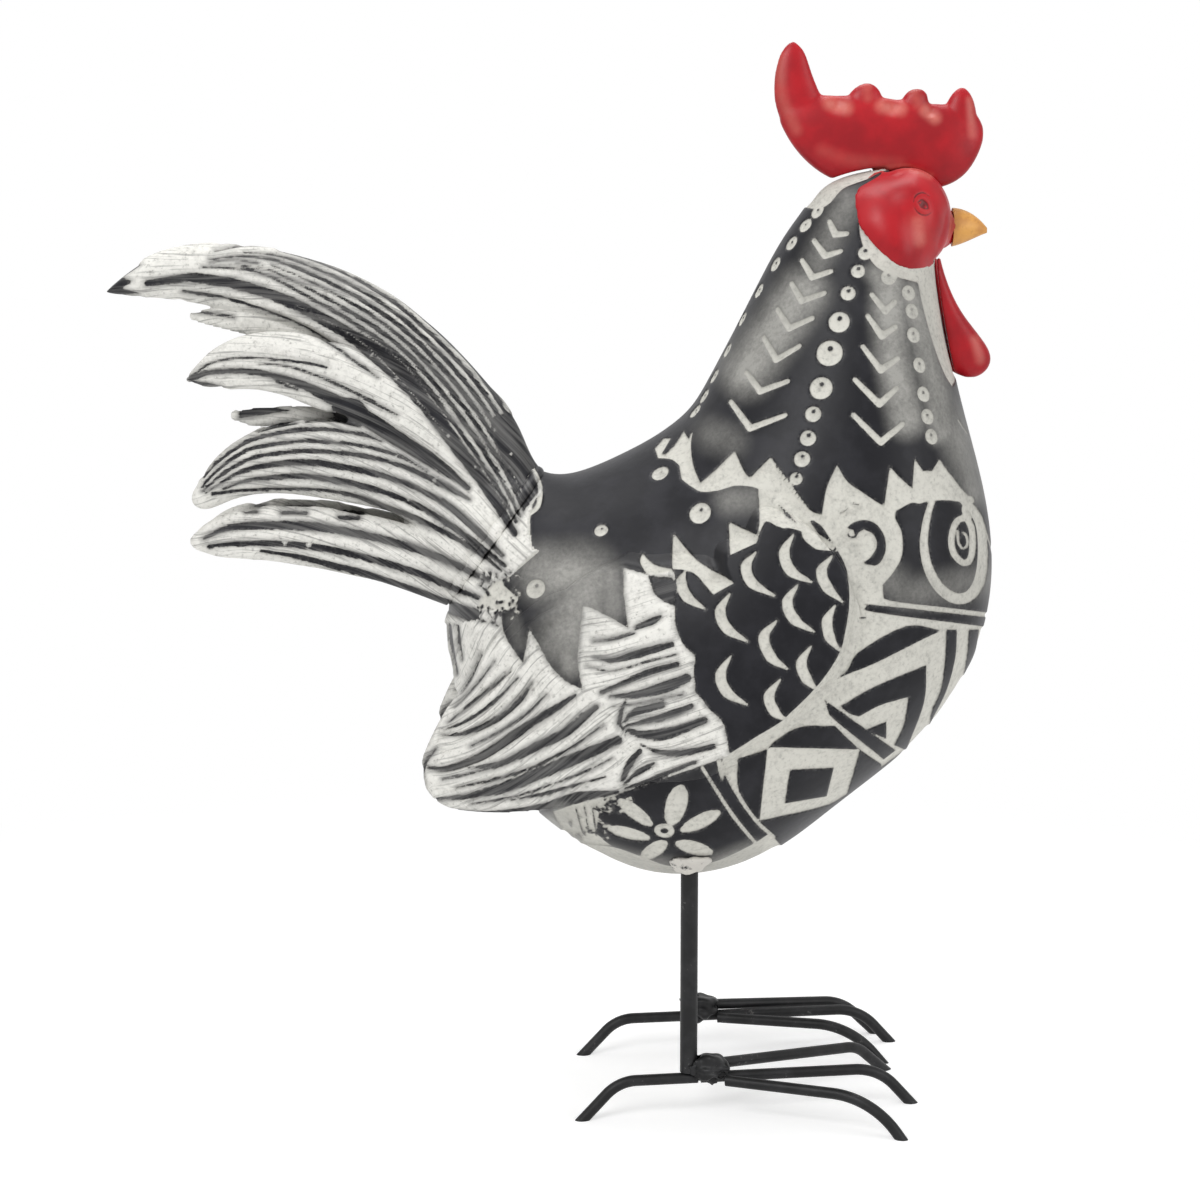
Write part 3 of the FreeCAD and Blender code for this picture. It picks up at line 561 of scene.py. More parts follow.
# Lines of painted grey sheen, partly dry-brush rub: view, places, width in mm and strength
SHEEN_AND_RUBS = (
    (NECK_VIEW, ((880, 180), (800, 330), (740, 450)), 7, 0.5),
    (NECK_VIEW, ((690, 560), (580, 720), (450, 900)), 11, 1.0),
    (NECK_VIEW, ((1060, 520), (1060, 700), (1090, 900), (1130, 1100)), 8, 1.0),
    (NECK_VIEW, ((1150, 560), (1190, 700), (1235, 900), (1290, 1150)), 7, 0.8),
    (NECK_VIEW, ((1000, 480), (1040, 560)), 5, 0.8),
    (NECK_VIEW, ((1250, 1000), (1350, 1200), (1420, 1400)), 8, 0.6),
    (WING_VIEW, ((300, 60), (380, 90)), 8, 0.35),
    (WING_VIEW, ((380, 340), (480, 330)), 7, 0.5),
    (RUMP_VIEW, ((620, 60), (800, 80), (700, 330)), 13, 0.8),
    (RUMP_VIEW, ((880, 60), (900, 200)), 7, 0.6),
    (RUMP_VIEW, ((640, 1120), (800, 1230), (1000, 1300), (1250, 1330), (1500, 1250)), 6, 1.0),
    (RUMP_VIEW, ((680, 1080), (740, 1150)), 5, 0.9),
    (RUMP_VIEW, ((480, 260), (510, 350)), 4, 0.3),
    (RUMP_VIEW, ((690, 360), (720, 450)), 6, 0.7),
    (BREAST_VIEW, ((1040, 100), (1150, 160), (1480, 100)), 8, 0.45),
)


def lay_lines(pattern, view, lines, white, unit):
    """Strokes from a table of places and widths, in a unit of so many mm."""
    for places, widths in lines:
        pattern.stroke(view, places, [w * unit for w in widths], white)


def chip(pattern, view, box, count, seed):
    """Short ragged strokes inside a box of the view, white and black by turns."""
    chance = random.Random(seed)
    low, high = box
    for number in range(count):
        place = (chance.uniform(low[0], high[0]), chance.uniform(low[1], high[1]))
        turned = [value + chance.uniform(-CHIP_LENGTH, CHIP_LENGTH) for value in place]
        pattern.stroke(view, (place, turned), (chance.uniform(0.3, 1.1), 0.2), number % 2 == 0)


def paint_flank(pattern):
    """The pattern of the rump, the saddle and the wing."""
    pattern.area(RUMP_VIEW, RIB_FIELD)
    pattern.area(RUMP_VIEW, SADDLE_LOBE, False)
    pattern.raise_area(RUMP_VIEW, RIB_FIELD)
    pattern.comb_along(RUMP_VIEW, [places for places, widths in RIB_GROOVES], (1.0, -1.0))
    pattern.area(RUMP_VIEW, RUMP_PALE)
    lay_lines(pattern, RUMP_VIEW, RIB_GROOVES, False, RUMP_PIXEL_MM)
    for outline in SADDLE_WHITES:
        pattern.area(WING_VIEW, outline)
    pattern.area(WING_VIEW, HACKLE_EDGE)
    lay_lines(pattern, WING_VIEW, WING_SLITS, False, PIXEL_MM)


def paint_breast(pattern):
    """The curls, bands and squares of the breast and the belly."""
    pattern.area(WING_VIEW, BREAST_FIELD)
    for outline in BREAST_DARKS:
        pattern.area(WING_VIEW, outline, False)
    lay_lines(pattern, WING_VIEW, BREAST_LINES, True, PIXEL_MM)
    lay_lines(pattern, WING_VIEW, BREAST_THIN_DARKS, False, PIXEL_MM)
    pattern.area(BREAST_VIEW, BELLY_BLACK, False)
    pattern.area(BREAST_VIEW, BELLY_SQUARE)
    pattern.area(BREAST_VIEW, BELLY_SQUARE_MIDDLE, False)
    pattern.area(RUMP_VIEW, FLOWER_FIELD, False)
    pattern.area(BREAST_VIEW, BAND_BLACK, False)
    lay_lines(pattern, BREAST_VIEW, BAND_LINES, True, PIXEL_MM)
    for number, box in enumerate(RUMP_CHIPS):
        chip(pattern, RUMP_VIEW, box, 44, number)
    for start, end, width in FLOWER_PETALS:
        widths = [share * width * RUMP_PIXEL_MM for share in PETAL_SHARES]
        pattern.stroke(RUMP_VIEW, (start, end), widths)
    pattern.dot(RUMP_VIEW, FLOWER_MIDDLE, 2.9)
    pattern.dot(RUMP_VIEW, FLOWER_MIDDLE, 1.1, False)
    pattern.area(RUMP_VIEW, BELLY_RIM)


def paint_neck(pattern):
    """The rows of dots and chevrons of the neck, and the white edges of the head."""
    pattern.area(NECK_VIEW, HEAD_PATCH)
    pattern.area(NECK_VIEW, COLLAR)
    for u, v, radius in MIDDLE_DOTS + SADDLE_DOTS:
        pattern.dot(PHOTO_VIEW, (u, v), radius * PIXEL_MM)
        hole = 0.30 + 0.045 * radius
        pattern.dot(PHOTO_VIEW, (u, v), hole, False, (0.1, 0.11 * radius))
    for place in NAPE_DOTS + FRONT_DOTS:
        pattern.dot(PHOTO_VIEW, place, SMALL_DOT)
        pattern.dot(PHOTO_VIEW, place, SMALL_HOLE, False, (0, SMALL_HOLE))
    for left, tip, right in CHEVRONS:
        pattern.stroke(PHOTO_VIEW, (left, tip), CHEVRON_WIDTHS, True, True)
        pattern.stroke(PHOTO_VIEW, (right, tip), CHEVRON_WIDTHS, True, True)
    lay_lines(pattern, WING_VIEW, BREAST_DASHES, True, PIXEL_MM)


def gap_outside(pattern, outlines):
    """How far outside all of the outlines the points are, in mm."""
    outside = np.full(len(pattern.places), FAR_OFF)
    for outline in outlines:
        line = np.array(outline)
        for start, end in zip(line, np.roll(line, -1, 0)):
            outside = np.minimum(outside, gap_to(pattern.places, start, end)[0] * pattern.pixel)
        outside[pattern.depth_in(outline) > 0] = 0
    return outside


def settle_wing(obj, flank):
    """Lets the wing's edge slope down under the flank, outside the outlines that the photograph shows."""
    places = corners(obj.data)
    pattern = Pattern(places)
    u, v = pattern.places.T
    fixed = eased(SLOPE_ROW - v, 0, SLOPE_BLEND) + eased(u - SLOPE_COLUMN, 0, SLOPE_BLEND)
    outside = gap_outside(pattern, (pixels(WING_VIEW, BLACK_PATCH), pixels(RUMP_VIEW, RIB_FIELD)))
    share = eased(outside, SLOPE_FROM, SLOPE_TO) * np.minimum(fixed, 1)
    for index in np.nonzero(share > 0)[0]:
        x, y, z = places[index]
        hit = flank.ray_cast((x, BESIDE, z), (0, 1, 0))[0]
        if hit is not None and y < hit.y + SETTLE_DEPTH:
            places[index, 1] = y + (hit.y + SETTLE_DEPTH - y) * share[index]
    move_to(obj, places)


def paint_wing_patch(pattern):
    """The black patch of the wing with its crescents, and painted grey sheen on the edge that slopes under
    the flank, which lightens the shade there.
    """
    pattern.area(WING_VIEW, BLACK_PATCH, False)
    for places in CRESCENTS:
        pattern.stroke(WING_VIEW, places, [w * PIXEL_MM for w in CRESCENT_WIDTHS])
    lay_lines(pattern, WING_VIEW, WING_SLITS, False, PIXEL_MM)
    depth = pattern.depth_in(rounded(pixels(WING_VIEW, BLACK_PATCH)))
    pattern.raised *= 1 - eased(depth, -0.3, 0.3)
    pattern.sheen_and_rub = np.maximum(pattern.sheen_and_rub, EDGE_SHEEN * eased(-depth, 0, 1.5))


def rub_sheen(pattern, spots=SHEEN_AND_RUBS):
    """Lays the painted grey sheen and dry-brush rubs on, from a table of lines."""
    for view, places, width, strength in spots:
        pattern.lay_sheen_and_rub(view, places, width, strength)


# Tail pattern. The sickle's dark lines lie at shares of the way from its upper edge to its band
SICKLE_UPPER = (
    (410, 112), (560, 90), (700, 115), (850, 172), (1000, 258), (1150, 385), (1290, 535), (1390, 690),
    (1470, 830), (1485, 905),
)
SICKLE_BAND = (
    (370, 165), (520, 175), (600, 205), (700, 262), (850, 350), (950, 415), (1050, 500), (1150, 625),
    (1250, 760), (1330, 880), (1410, 1020),
)
# Each of the dark lines has this many points before it is smoothed
RIDGE_POINTS = 14
SICKLE_WIDTHS = (0.4, 1.6, 3.2, 3.9, 4.3, 4.3, 4.2, 4, 3)
SICKLE_SHARES = (-0.66, -0.49, -0.32, -0.15, 0.02, 0.19, 0.36, 0.53, 0.70, 0.87)
SICKLE_TIP = (
    (30, 215), (60, 185), (150, 140), (165, 150), (105, 190), (140, 205), (100, 228), (160, 245),
    (60, 265), (30, 245),
)
SICKLE_BACK = (
    (1335, 660), (1400, 640), (1470, 700), (1560, 860), (1500, 900), (1450, 960), (1405, 860),
    (1350, 740),
)
LEAF_CORE = ((495, 622), (570, 612), (665, 635), (560, 652), (500, 662))
LEAF_JOINT = ((800, 590), (900, 600), (930, 640), (900, 690), (830, 670), (810, 640))
TAIL_DARK_LINES = (
    (((190, 212), (330, 195), (450, 208), (560, 235), (700, 290), (850, 375), (950, 440), (1050, 530),
     (1150, 650), (1250, 790), (1330, 900), (1415, 1045)), (5, 10, 10, 10, 11, 12, 17, 18, 15, 13, 11,
     6)),
    (((310, 238), (450, 262), (560, 295), (700, 350), (800, 410), (900, 482), (960, 525)), (2, 3, 2.4,
     2.2, 2, 2, 1)),
    (((300, 275), (315, 298), (400, 310), (480, 325)), (2, 3, 3, 1.5)),
    (((400, 140), (480, 132), (560, 145)), (0.6, 1.4, 0.8)),
    (((450, 160), (530, 165), (570, 175)), (1, 3, 1)),
    (((345, 515), (400, 478), (480, 462), (560, 460), (650, 468), (740, 480), (790, 492)), (2, 2, 1.6,
     1.8, 2, 2, 1)),
    (((560, 480), (650, 487), (750, 517), (850, 560), (950, 612), (1025, 652)), (1, 2.4, 2.8, 3, 3, 1)),
    (((335, 528), (400, 508), (500, 503), (600, 518), (700, 548), (790, 590), (870, 635), (950, 680),
     (1040, 738), (1130, 795), (1200, 845), (1262, 895)), (6, 4, 5, 6, 8, 11, 15, 15, 14, 13, 9, 4)),
    (((610, 532), (650, 552), (690, 568)), (2, 4, 2)),
    (((340, 545), (400, 552), (440, 560)), (4, 3, 1)),
    (((560, 705), (640, 683), (690, 677)), (1.5, 2.5, 1)),
    (((720, 672), (800, 666), (860, 676)), (1, 2.2, 1)),
    (((378, 855), (430, 800), (520, 740), (600, 715), (700, 700), (800, 698), (900, 713), (975, 737)), (2,
     3, 4, 4, 4, 3.6, 3.4, 1)),
    (((372, 890), (420, 838), (500, 780), (560, 757), (700, 738), (850, 745), (960, 765), (1040, 790),
     (1125, 838)), (1.5, 2.5, 3, 3.4, 3.4, 3.4, 3.4, 3, 1)),
    (((375, 905), (450, 842), (540, 795), (650, 776), (750, 771), (900, 785), (1000, 807), (1100, 845),
     (1190, 890), (1265, 932)), (1, 3, 3.5, 3.8, 4, 4, 4, 5, 6, 2)),
    (((385, 912), (480, 852), (560, 824), (650, 812), (760, 811), (900, 835), (1000, 860), (1100, 900),
     (1200, 958), (1300, 1045), (1375, 1120)), (1, 3, 5, 6, 6.5, 6, 5, 5, 6, 6, 3)),
    (((440, 900), (520, 872), (600, 860), (700, 856), (800, 866), (900, 886), (1000, 916), (1100, 958),
     (1200, 1018), (1300, 1090), (1385, 1155)), (1, 3, 4.5, 5.5, 5.5, 5.5, 5, 5.5, 6, 6, 3)),
    (((408, 914), (500, 904), (600, 900), (700, 899), (800, 906), (900, 928), (1000, 966), (1100, 1002),
     (1200, 1052), (1300, 1112), (1372, 1168)), (3, 3, 2.5, 2.5, 3, 4.5, 5.5, 5.5, 5, 4, 2)),
    (((520, 972), (555, 972)), (3,)),
    (((640, 974), (720, 976)), (3.4,)),
    (((835, 990), (895, 992)), (4.5,)),
    (((380, 1062), (450, 1030), (520, 1020), (600, 1018), (700, 1020), (800, 1030), (900, 1048),
     (1000, 1070), (1100, 1102), (1200, 1142), (1300, 1190), (1372, 1222)), (3, 6, 8, 8.5, 8.5, 8, 8, 8,
     7, 6, 5, 3)),
    (((395, 1090), (480, 1082), (600, 1080), (700, 1085), (800, 1100), (900, 1122), (1000, 1150),
     (1100, 1182), (1200, 1222), (1295, 1262)), (3, 5, 6, 6.5, 6.5, 6.5, 6.5, 6, 6, 4)),
    (((570, 1106), (700, 1126), (800, 1152), (900, 1178), (1000, 1212), (1100, 1250), (1200, 1292),
     (1295, 1325)), (3, 5, 6, 7, 8, 10, 13, 13)),
)
TAIL_WHITE_LINES = (
    (((310, 206), (450, 238), (600, 285), (760, 362), (880, 432), (980, 520)), (1.5, 3.4, 3.2, 3, 3, 2)),
    (((690, 288), (850, 372), (960, 455), (1060, 560), (1180, 705)), (0.8, 1.2, 1.4, 1.2, 0.8)),
    (((1340, 800), (1400, 900), (1440, 990)), (1, 2, 1)),
    (((1400, 820), (1440, 905)), (1.4, 1)),
)
TAIL_SPECKS = (
    (650, 1078, 2.6), (728, 1086, 2.6), (785, 655, 3.2), (1020, 790, 2), (425, 275, 2.4), (1195, 720, 2),
    (1020, 530, 1.6), (940, 450, 1.4), (1285, 825, 1.8), (1405, 780, 2), (1350, 700, 1.6),
    (640, 555, 1.6), (1150, 870, 2), (1230, 955, 2.4), (1275, 1000, 2), (1060, 935, 1.6),
    (1200, 990, 1.8), (980, 640, 1.4),
)
TAIL_EDGE = (
    (1470, 812), (1502, 880), (1506, 912), (1476, 940), (1466, 1000), (1470, 1080), (1492, 1106),
    (1440, 1150), (1400, 1190), (1362, 1202), (1330, 1222), (1290, 1290), (1300, 1332), (1200, 1345),
    (1050, 1290), (1050, 700), (1400, 640),
)
ROOT_WHITE = (
    (1290, 1270), (1340, 1215), (1380, 1190), (1400, 1110), (1430, 1050), (1455, 960), (1505, 905),
    (1478, 945), (1468, 1000), (1472, 1080), (1495, 1108), (1440, 1155), (1405, 1185), (1375, 1215),
    (1430, 1262), (1400, 1300), (1310, 1330),
)
SEAM_LINE = ((1470, 815), (1500, 880), (1495, 950), (1460, 985))
CHIPPED = ((1300, 1170), (1435, 1340))


def resampled(places, count):
    """Points at equal steps along a smooth line."""
    line = np.array(smooth_line(places))
    length = np.concatenate([[0], np.cumsum(np.linalg.norm(np.diff(line, axis=0), axis=1))])
    steps = np.linspace(0, length[-1], count)
    return np.stack([np.interp(steps, length, line[:, 0]), np.interp(steps, length, line[:, 1])], 1)


def ridge_lines(upper, lower, shares, widths):
    """Lines along a feather, at shares of the way between its two edges. They start by turns further in."""
    above = resampled(upper, RIDGE_POINTS)
    below = resampled(lower, RIDGE_POINTS)
    starts = [number * 2 % 3 for number in range(len(shares))]
    return [((above + (below - above) * share)[start:], widths) for share, start in zip(shares, starts)]


def paint_tail(pattern):
    """White feathers with dark grooves along them."""
    sickle = ridge_lines(SICKLE_UPPER, SICKLE_BAND, SICKLE_SHARES, SICKLE_WIDTHS)
    pattern.wash[:] = pattern.FAR
    pattern.raised[:] = 1
    pattern.comb_along(TAIL_VIEW, [line for line, widths in sickle + list(TAIL_DARK_LINES)], (1.0, 0.7))
    lay_lines(pattern, TAIL_VIEW, sickle, False, PIXEL_MM)
    for outline in (SICKLE_TIP, SICKLE_BACK, LEAF_CORE, LEAF_JOINT):
        pattern.area(TAIL_VIEW, outline, False)
    lay_lines(pattern, TAIL_VIEW, TAIL_DARK_LINES, False, PIXEL_MM)
    lay_lines(pattern, TAIL_VIEW, TAIL_WHITE_LINES, True, PIXEL_MM)
    for u, v, radius in TAIL_SPECKS:
        pattern.dot(TAIL_VIEW, (u, v), radius * PIXEL_MM)
    pattern.area(TAIL_VIEW, ROOT_WHITE)


def carry_tail_on(pattern):
    """The feathers run on over the seam, as far as the photograph shows them, and end in chipped white."""
    tail = Pattern(pattern.near, pattern.surface)
    paint_tail(tail)
    where = pattern.depth_in(rounded(pixels(TAIL_VIEW, TAIL_EDGE))) > 0
    for name in ("wash", "raised", "grain"):
        getattr(pattern, name)[where] = getattr(tail, name)[where]
    pattern.area(TAIL_VIEW, ROOT_WHITE)
    pattern.stroke(TAIL_VIEW, SEAM_LINE, (1.0, 1.3, 1.4, 1.0))
    chip(pattern, TAIL_VIEW, CHIPPED, 70, 11)


# Surfaces
def alone(obj):
    """Makes an object the only one that is selected."""
    for other in bpy.context.selected_objects:
        other.select_set(False)
    bpy.context.view_layer.objects.active = obj
    obj.select_set(True)


def new_object(name, data):
    """An object of the scene, made from a mesh, a light or a camera."""
    obj = bpy.data.objects.new(name, data)
    bpy.context.scene.collection.objects.link(obj)
    return obj


def apply_modifier(obj, kind, **settings):
    """Adds a modifier with these settings and applies it."""
    modifier = obj.modifiers.new(kind, kind)
    for name, value in settings.items():
        setattr(modifier, name, value)
    alone(obj)
    bpy.ops.object.modifier_apply(modifier=modifier.name)


# A smooth patch of a CAD mesh is inside where too few rays leave it, tried from some of its faces
RAYS = 6
TRIED = 10
OPEN_SHARE = 0.08


def free_share(tree, face, rays):
    """The share of rays from a face that leave without touching the shape again."""
    start = face.calc_center_median() + face.normal * 0.1 * MM
    free = 0
    for ray in rays:
        way = (face.normal * 1.2 + ray).normalized()
        if tree.ray_cast(start, way, 0.5)[0] is None:
            free += 1
    return free / len(rays)


def smooth_patches(mesh, turn=0.5):
    """Groups of faces that meet without a fold of more than a turn, in radians, between them."""
    seen = set()
    for first in mesh.faces:
        if first.index in seen:
            continue
        seen.add(first.index)
        patch, waiting = [], [first]
        while waiting:
            face = waiting.pop()
            patch.append(face)
            for edge in face.edges:
                if len(edge.link_faces) != 2 or edge.calc_face_angle(0) > turn:
                    continue
                for other in edge.link_faces:
                    if other.index not in seen:
                        seen.add(other.index)
                        waiting.append(other)
        yield patch


def keep_outside(mesh):
    """Deletes the hollow and the bores from a merged mesh, and closes the mouths of the bores."""
    mesh.faces.ensure_lookup_table()
    tree = BVHTree.FromBMesh(mesh)
    chance = random.Random(4)
    rays = [Vector([chance.gauss(0, 0.6) for _ in range(3)]) for _ in range(RAYS)]
    inner = []
    for patch in smooth_patches(mesh):
        tried = [patch[int(i * (len(patch) - 1) / (TRIED - 1))] for i in range(TRIED)]
        if sum(free_share(tree, face, rays) for face in tried) / TRIED < OPEN_SHARE:
            inner += patch
    bmesh.ops.delete(mesh, geom=inner, context="FACES")
    loose = [v for v in mesh.verts if not v.link_faces]
    bmesh.ops.delete(mesh, geom=loose, context="VERTS")
    bmesh.ops.holes_fill(mesh, edges=[e for e in mesh.edges if e.is_boundary], sides=0)
    bmesh.ops.triangulate(mesh, faces=[f for f in mesh.faces if len(f.verts) > 4])
    bmesh.ops.recalc_face_normals(mesh, faces=mesh.faces)


def even_out(obj, voxel, rounds):
    """Gives a piece small even faces, with its points a voxel apart, in mm, and softens its edges."""
    apply_modifier(obj, "REMESH", mode="VOXEL", voxel_size=voxel * MM, adaptivity=0.0)
    apply_modifier(obj, "SMOOTH", factor=0.5, iterations=rounds)


def even_copy(node, name, voxel, hollow=False, rounds=4):
    """A copy of a CAD node's shape with small even faces. Of a hollow one only the outside is kept."""
    obj = new_object(name, NODES[node].data.copy())
    obj.data.materials.clear()
    mesh = bmesh.new()
    mesh.from_mesh(obj.data)
    bmesh.ops.remove_doubles(mesh, verts=mesh.verts, dist=0.01 * MM)
    if hollow:
        keep_outside(mesh)
    mesh.to_mesh(obj.data)
    mesh.free()
    even_out(obj, voxel, rounds)
    return obj


def right_half(obj):
    """Cuts away the left half."""
    mesh = bmesh.new()
    mesh.from_mesh(obj.data)
    whole = mesh.verts[:] + mesh.edges[:] + mesh.faces[:]
    plane = {"plane_co": (0, 0, 0), "plane_no": (0, 1, 0)}
    bmesh.ops.bisect_plane(mesh, geom=whole, dist=0.1 * MM, clear_outer=True, **plane)
    # The cut leaves its points up to that distance off the plane, and they are set on it
    for corner in mesh.verts:
        if corner.co.y > -0.11 * MM:
            corner.co.y = 0
    mesh.to_mesh(obj.data)
    mesh.free()


def corners(mesh):
    """The places of a mesh's points, one row each."""
    places = np.zeros(len(mesh.vertices) * 3)
    mesh.vertices.foreach_get("co", places)
    return places.reshape(-1, 3)


def outward(mesh):
    """The directions straight out of a mesh's points, one row each."""
    found = np.zeros(len(mesh.vertices) * 3)
    mesh.vertex_normals.foreach_get("vector", found)
    return found.reshape(-1, 3)


def move_to(obj, places):
    """Moves a piece's points to new places."""
    obj.data.vertices.foreach_set("co", places.ravel())
    obj.data.update()


def store(mesh, name, values):
    """Keeps a number for each point of a mesh, under a name that finishes can read."""
    layer = mesh.attributes.new(name, "FLOAT", "POINT")
    layer.data.foreach_set("value", values.astype(np.float32))


def paint_surface(obj, painters, cut=CUT):
    """Lays the pattern over a piece, cuts it in, and keeps what the finish reads of it."""
    mesh = obj.data
    places = corners(mesh)
    pattern = Pattern(places, surface_of(obj))
    for painter in painters:
        painter(pattern)
    white = eased(pattern.wash, STEP_BEGINS, STEP_ENDS)
    cut_in = (white + (1 - 2 * white) * pattern.raised) * cut
    crest = eased(pattern.wash, 0, CREST_FULL) * pattern.raised * CREST
    bowl = eased(pattern.wash, 0.2, BOWL_FULL) * (1 - pattern.raised) * BOWL
    move = crest - bowl - cut_in - pattern.sunk
    moved = places + outward(mesh) * (move * MM)[:, None]
    # What lies on the middle plane stays on it, so that the two halves of the body meet
    moved[np.abs(places[:, 1]) < 1e-6, 1] = 0
    move_to(obj, moved)
    for name in ("wash", "sheen_and_rub", "raised", "grain"):
        store(mesh, name, getattr(pattern, name))
    shade_smooth(obj)


def shade_smooth(obj):
    """Lets the light run smoothly over a piece's faces."""
    alone(obj)
    bpy.ops.object.shade_smooth()


def finish_piece(obj, finish, node):
    """Gives a piece its finish, hangs it under the root and hides the node that it stands for."""
    obj.data.materials.clear()
    obj.data.materials.append(finish)
    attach(obj, "root")
    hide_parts(node)


def surface_of(obj):
    """A piece's surface, for rays to find."""
    return BVHTree.FromObject(obj, bpy.context.evaluated_depsgraph_get())


def lump(obj, seed, waves, height, sink):
    """Uneven lumps of a height over a surface that sinks a little. Both are in mm."""
    places = corners(obj.data)
    chance = np.random.default_rng(seed)
    total = np.zeros(len(places))
    for _ in range(LUMP_WAVES):
        direction = chance.normal(size=3) * waves
        total += np.sin(places @ direction * 2 + chance.uniform(0, 6.3))
    move = total / LUMP_WAVES ** 0.5 * height * 0.5 - sink
    move_to(obj, places + outward(obj.data) * (move * MM)[:, None])


def squeeze(obj, middle, shares):
    """Scales a piece's points about a place."""
    move_to(obj, middle + (corners(obj.data) - middle) * np.array(shares))


def mirrored_copy(obj, name):
    """The other side's piece, with its own mesh."""
    twin = new_object(name, obj.data.copy())
    mesh = bmesh.new()
    mesh.from_mesh(twin.data)
    for corner in mesh.verts:
        corner.co.y = -corner.co.y
    bmesh.ops.reverse_faces(mesh, faces=mesh.faces)
    mesh.to_mesh(twin.data)
    mesh.free()
    return twin


# Finishes
class Reading:
    """A value in a node tree. Python's arithmetic on it adds the nodes that work it out."""

    def __init__(self, nodes, socket):
        self.nodes = nodes
        self.socket = socket

    def math(self, operation, other=None, swapped=False):
        """The result of a Math node, with this value first, or second if they are swapped."""
        inputs = {1 if swapped else 0: self}
        if other is not None:
            inputs[0 if swapped else 1] = other
        node = self.nodes.add("ShaderNodeMath", {"operation": operation}, inputs)
        return Reading(self.nodes, node.outputs[0])

    def __add__(self, other):
        return self.math("ADD", other)

    __radd__ = __add__

    def __sub__(self, other):
        return self.math("SUBTRACT", other)

    def __rsub__(self, other):
        return self.math("SUBTRACT", other, True)

    def __mul__(self, other):
        return self.math("MULTIPLY", other)

    __rmul__ = __mul__

    def above(self, other):
        """The larger of the two."""
        return self.math("MAXIMUM", other)

    def below(self, other):
        """The smaller of the two."""
        return self.math("MINIMUM", other)

    def size(self):
        """The value without its sign."""
        return self.math("ABSOLUTE")

    def step(self, low, high):
        """0 below low, 1 above high, smooth between."""
        settings = {"interpolation_type": "SMOOTHSTEP"}
        inputs = {"Value": self, "From Min": low, "From Max": high}
        node = self.nodes.add("ShaderNodeMapRange", settings, inputs)
        return Reading(self.nodes, node.outputs["Result"])


class Nodes:
    """The node tree of a material or a world."""

    def __init__(self, owner):
        owner.use_nodes = True
        self.tree = owner.node_tree

    def set(self, socket, value):
        """Links a reading to a socket, or sets the socket's own value."""
        if isinstance(value, Reading):
            self.tree.links.new(value.socket, socket)
        else:
            socket.default_value = value

    def add(self, kind, settings=None, inputs=None):
        """A node of a type, with its settings and the values or readings of its sockets."""
        node = self.tree.nodes.new(kind)
        for name, value in (settings or {}).items():
            setattr(node, name, value)
        for name, value in (inputs or {}).items():
            self.set(node.inputs[name], value)
        return node

    def read(self, kind, output, settings=None, inputs=None):
        """What a new node gives at one of its outputs."""
        return Reading(self, self.add(kind, settings, inputs).outputs[output])


class Finish(Nodes):
    """A material under construction, with the place on the piece that its patterns read."""

    def __init__(self, name):
        self.material = bpy.data.materials.new(name)
        super().__init__(self.material)
        self.shader = self.tree.nodes["Principled BSDF"]
        self.place = self.read("ShaderNodeTexCoord", "Object")

    def stored(self, name):
        """What a mesh keeps for its points under a name."""
        return self.read("ShaderNodeAttribute", "Fac", {"attribute_name": name})

    def noise(self, scale, detail=3.0, rough=0.55, place=None):
        """Cloudy noise between 0 and 1, with so many clouds to a metre."""
        inputs = {"Vector": place or self.place, "Scale": scale, "Detail": detail, "Roughness": rough}
        return self.read("ShaderNodeTexNoise", "Fac", None, inputs)

    def along_grain(self, across, along):
        """Places for a noise that runs in streaks along the feathers."""
        spot = self.add("ShaderNodeSeparateXYZ", None, {"Vector": self.place})
        x, z = Reading(self, spot.outputs["X"]), Reading(self, spot.outputs["Z"])
        inputs = {"X": self.stored("grain") * across, "Y": x * along, "Z": z * along}
        return self.read("ShaderNodeCombineXYZ", "Vector", None, inputs)

    def blend(self, share, first, second):
        """A colour between two, each an (r, g, b) or a reading."""
        node = self.add("ShaderNodeMix", {"data_type": "RGBA"})
        self.set(node.inputs[0], share)
        for socket, colour in ((node.inputs[6], first), (node.inputs[7], second)):
            self.set(socket, colour if isinstance(colour, Reading) else (*colour, 1))
        return Reading(self, node.outputs[2])

    def rim(self, blend):
        """1 where the surface turns away from the eye, 0 where it faces it."""
        return self.read("ShaderNodeLayerWeight", "Facing", None, {"Blend": blend})

    def bump(self, height, strength, distance):
        """Fine relief: a height between 0 and 1 that stands for so many metres."""
        inputs = {"Height": height, "Strength": strength, "Distance": distance}
        self.set(self.shader.inputs["Normal"], self.read("ShaderNodeBump", "Normal", None, inputs))

    def wear(self, **values):
        """Sets the shader's own inputs by name, with _ for a space."""
        for name, value in values.items():
            if isinstance(value, tuple):
                value = (*value, 1)
            self.set(self.shader.inputs[name.replace("_", " ")], value)
        return self.material


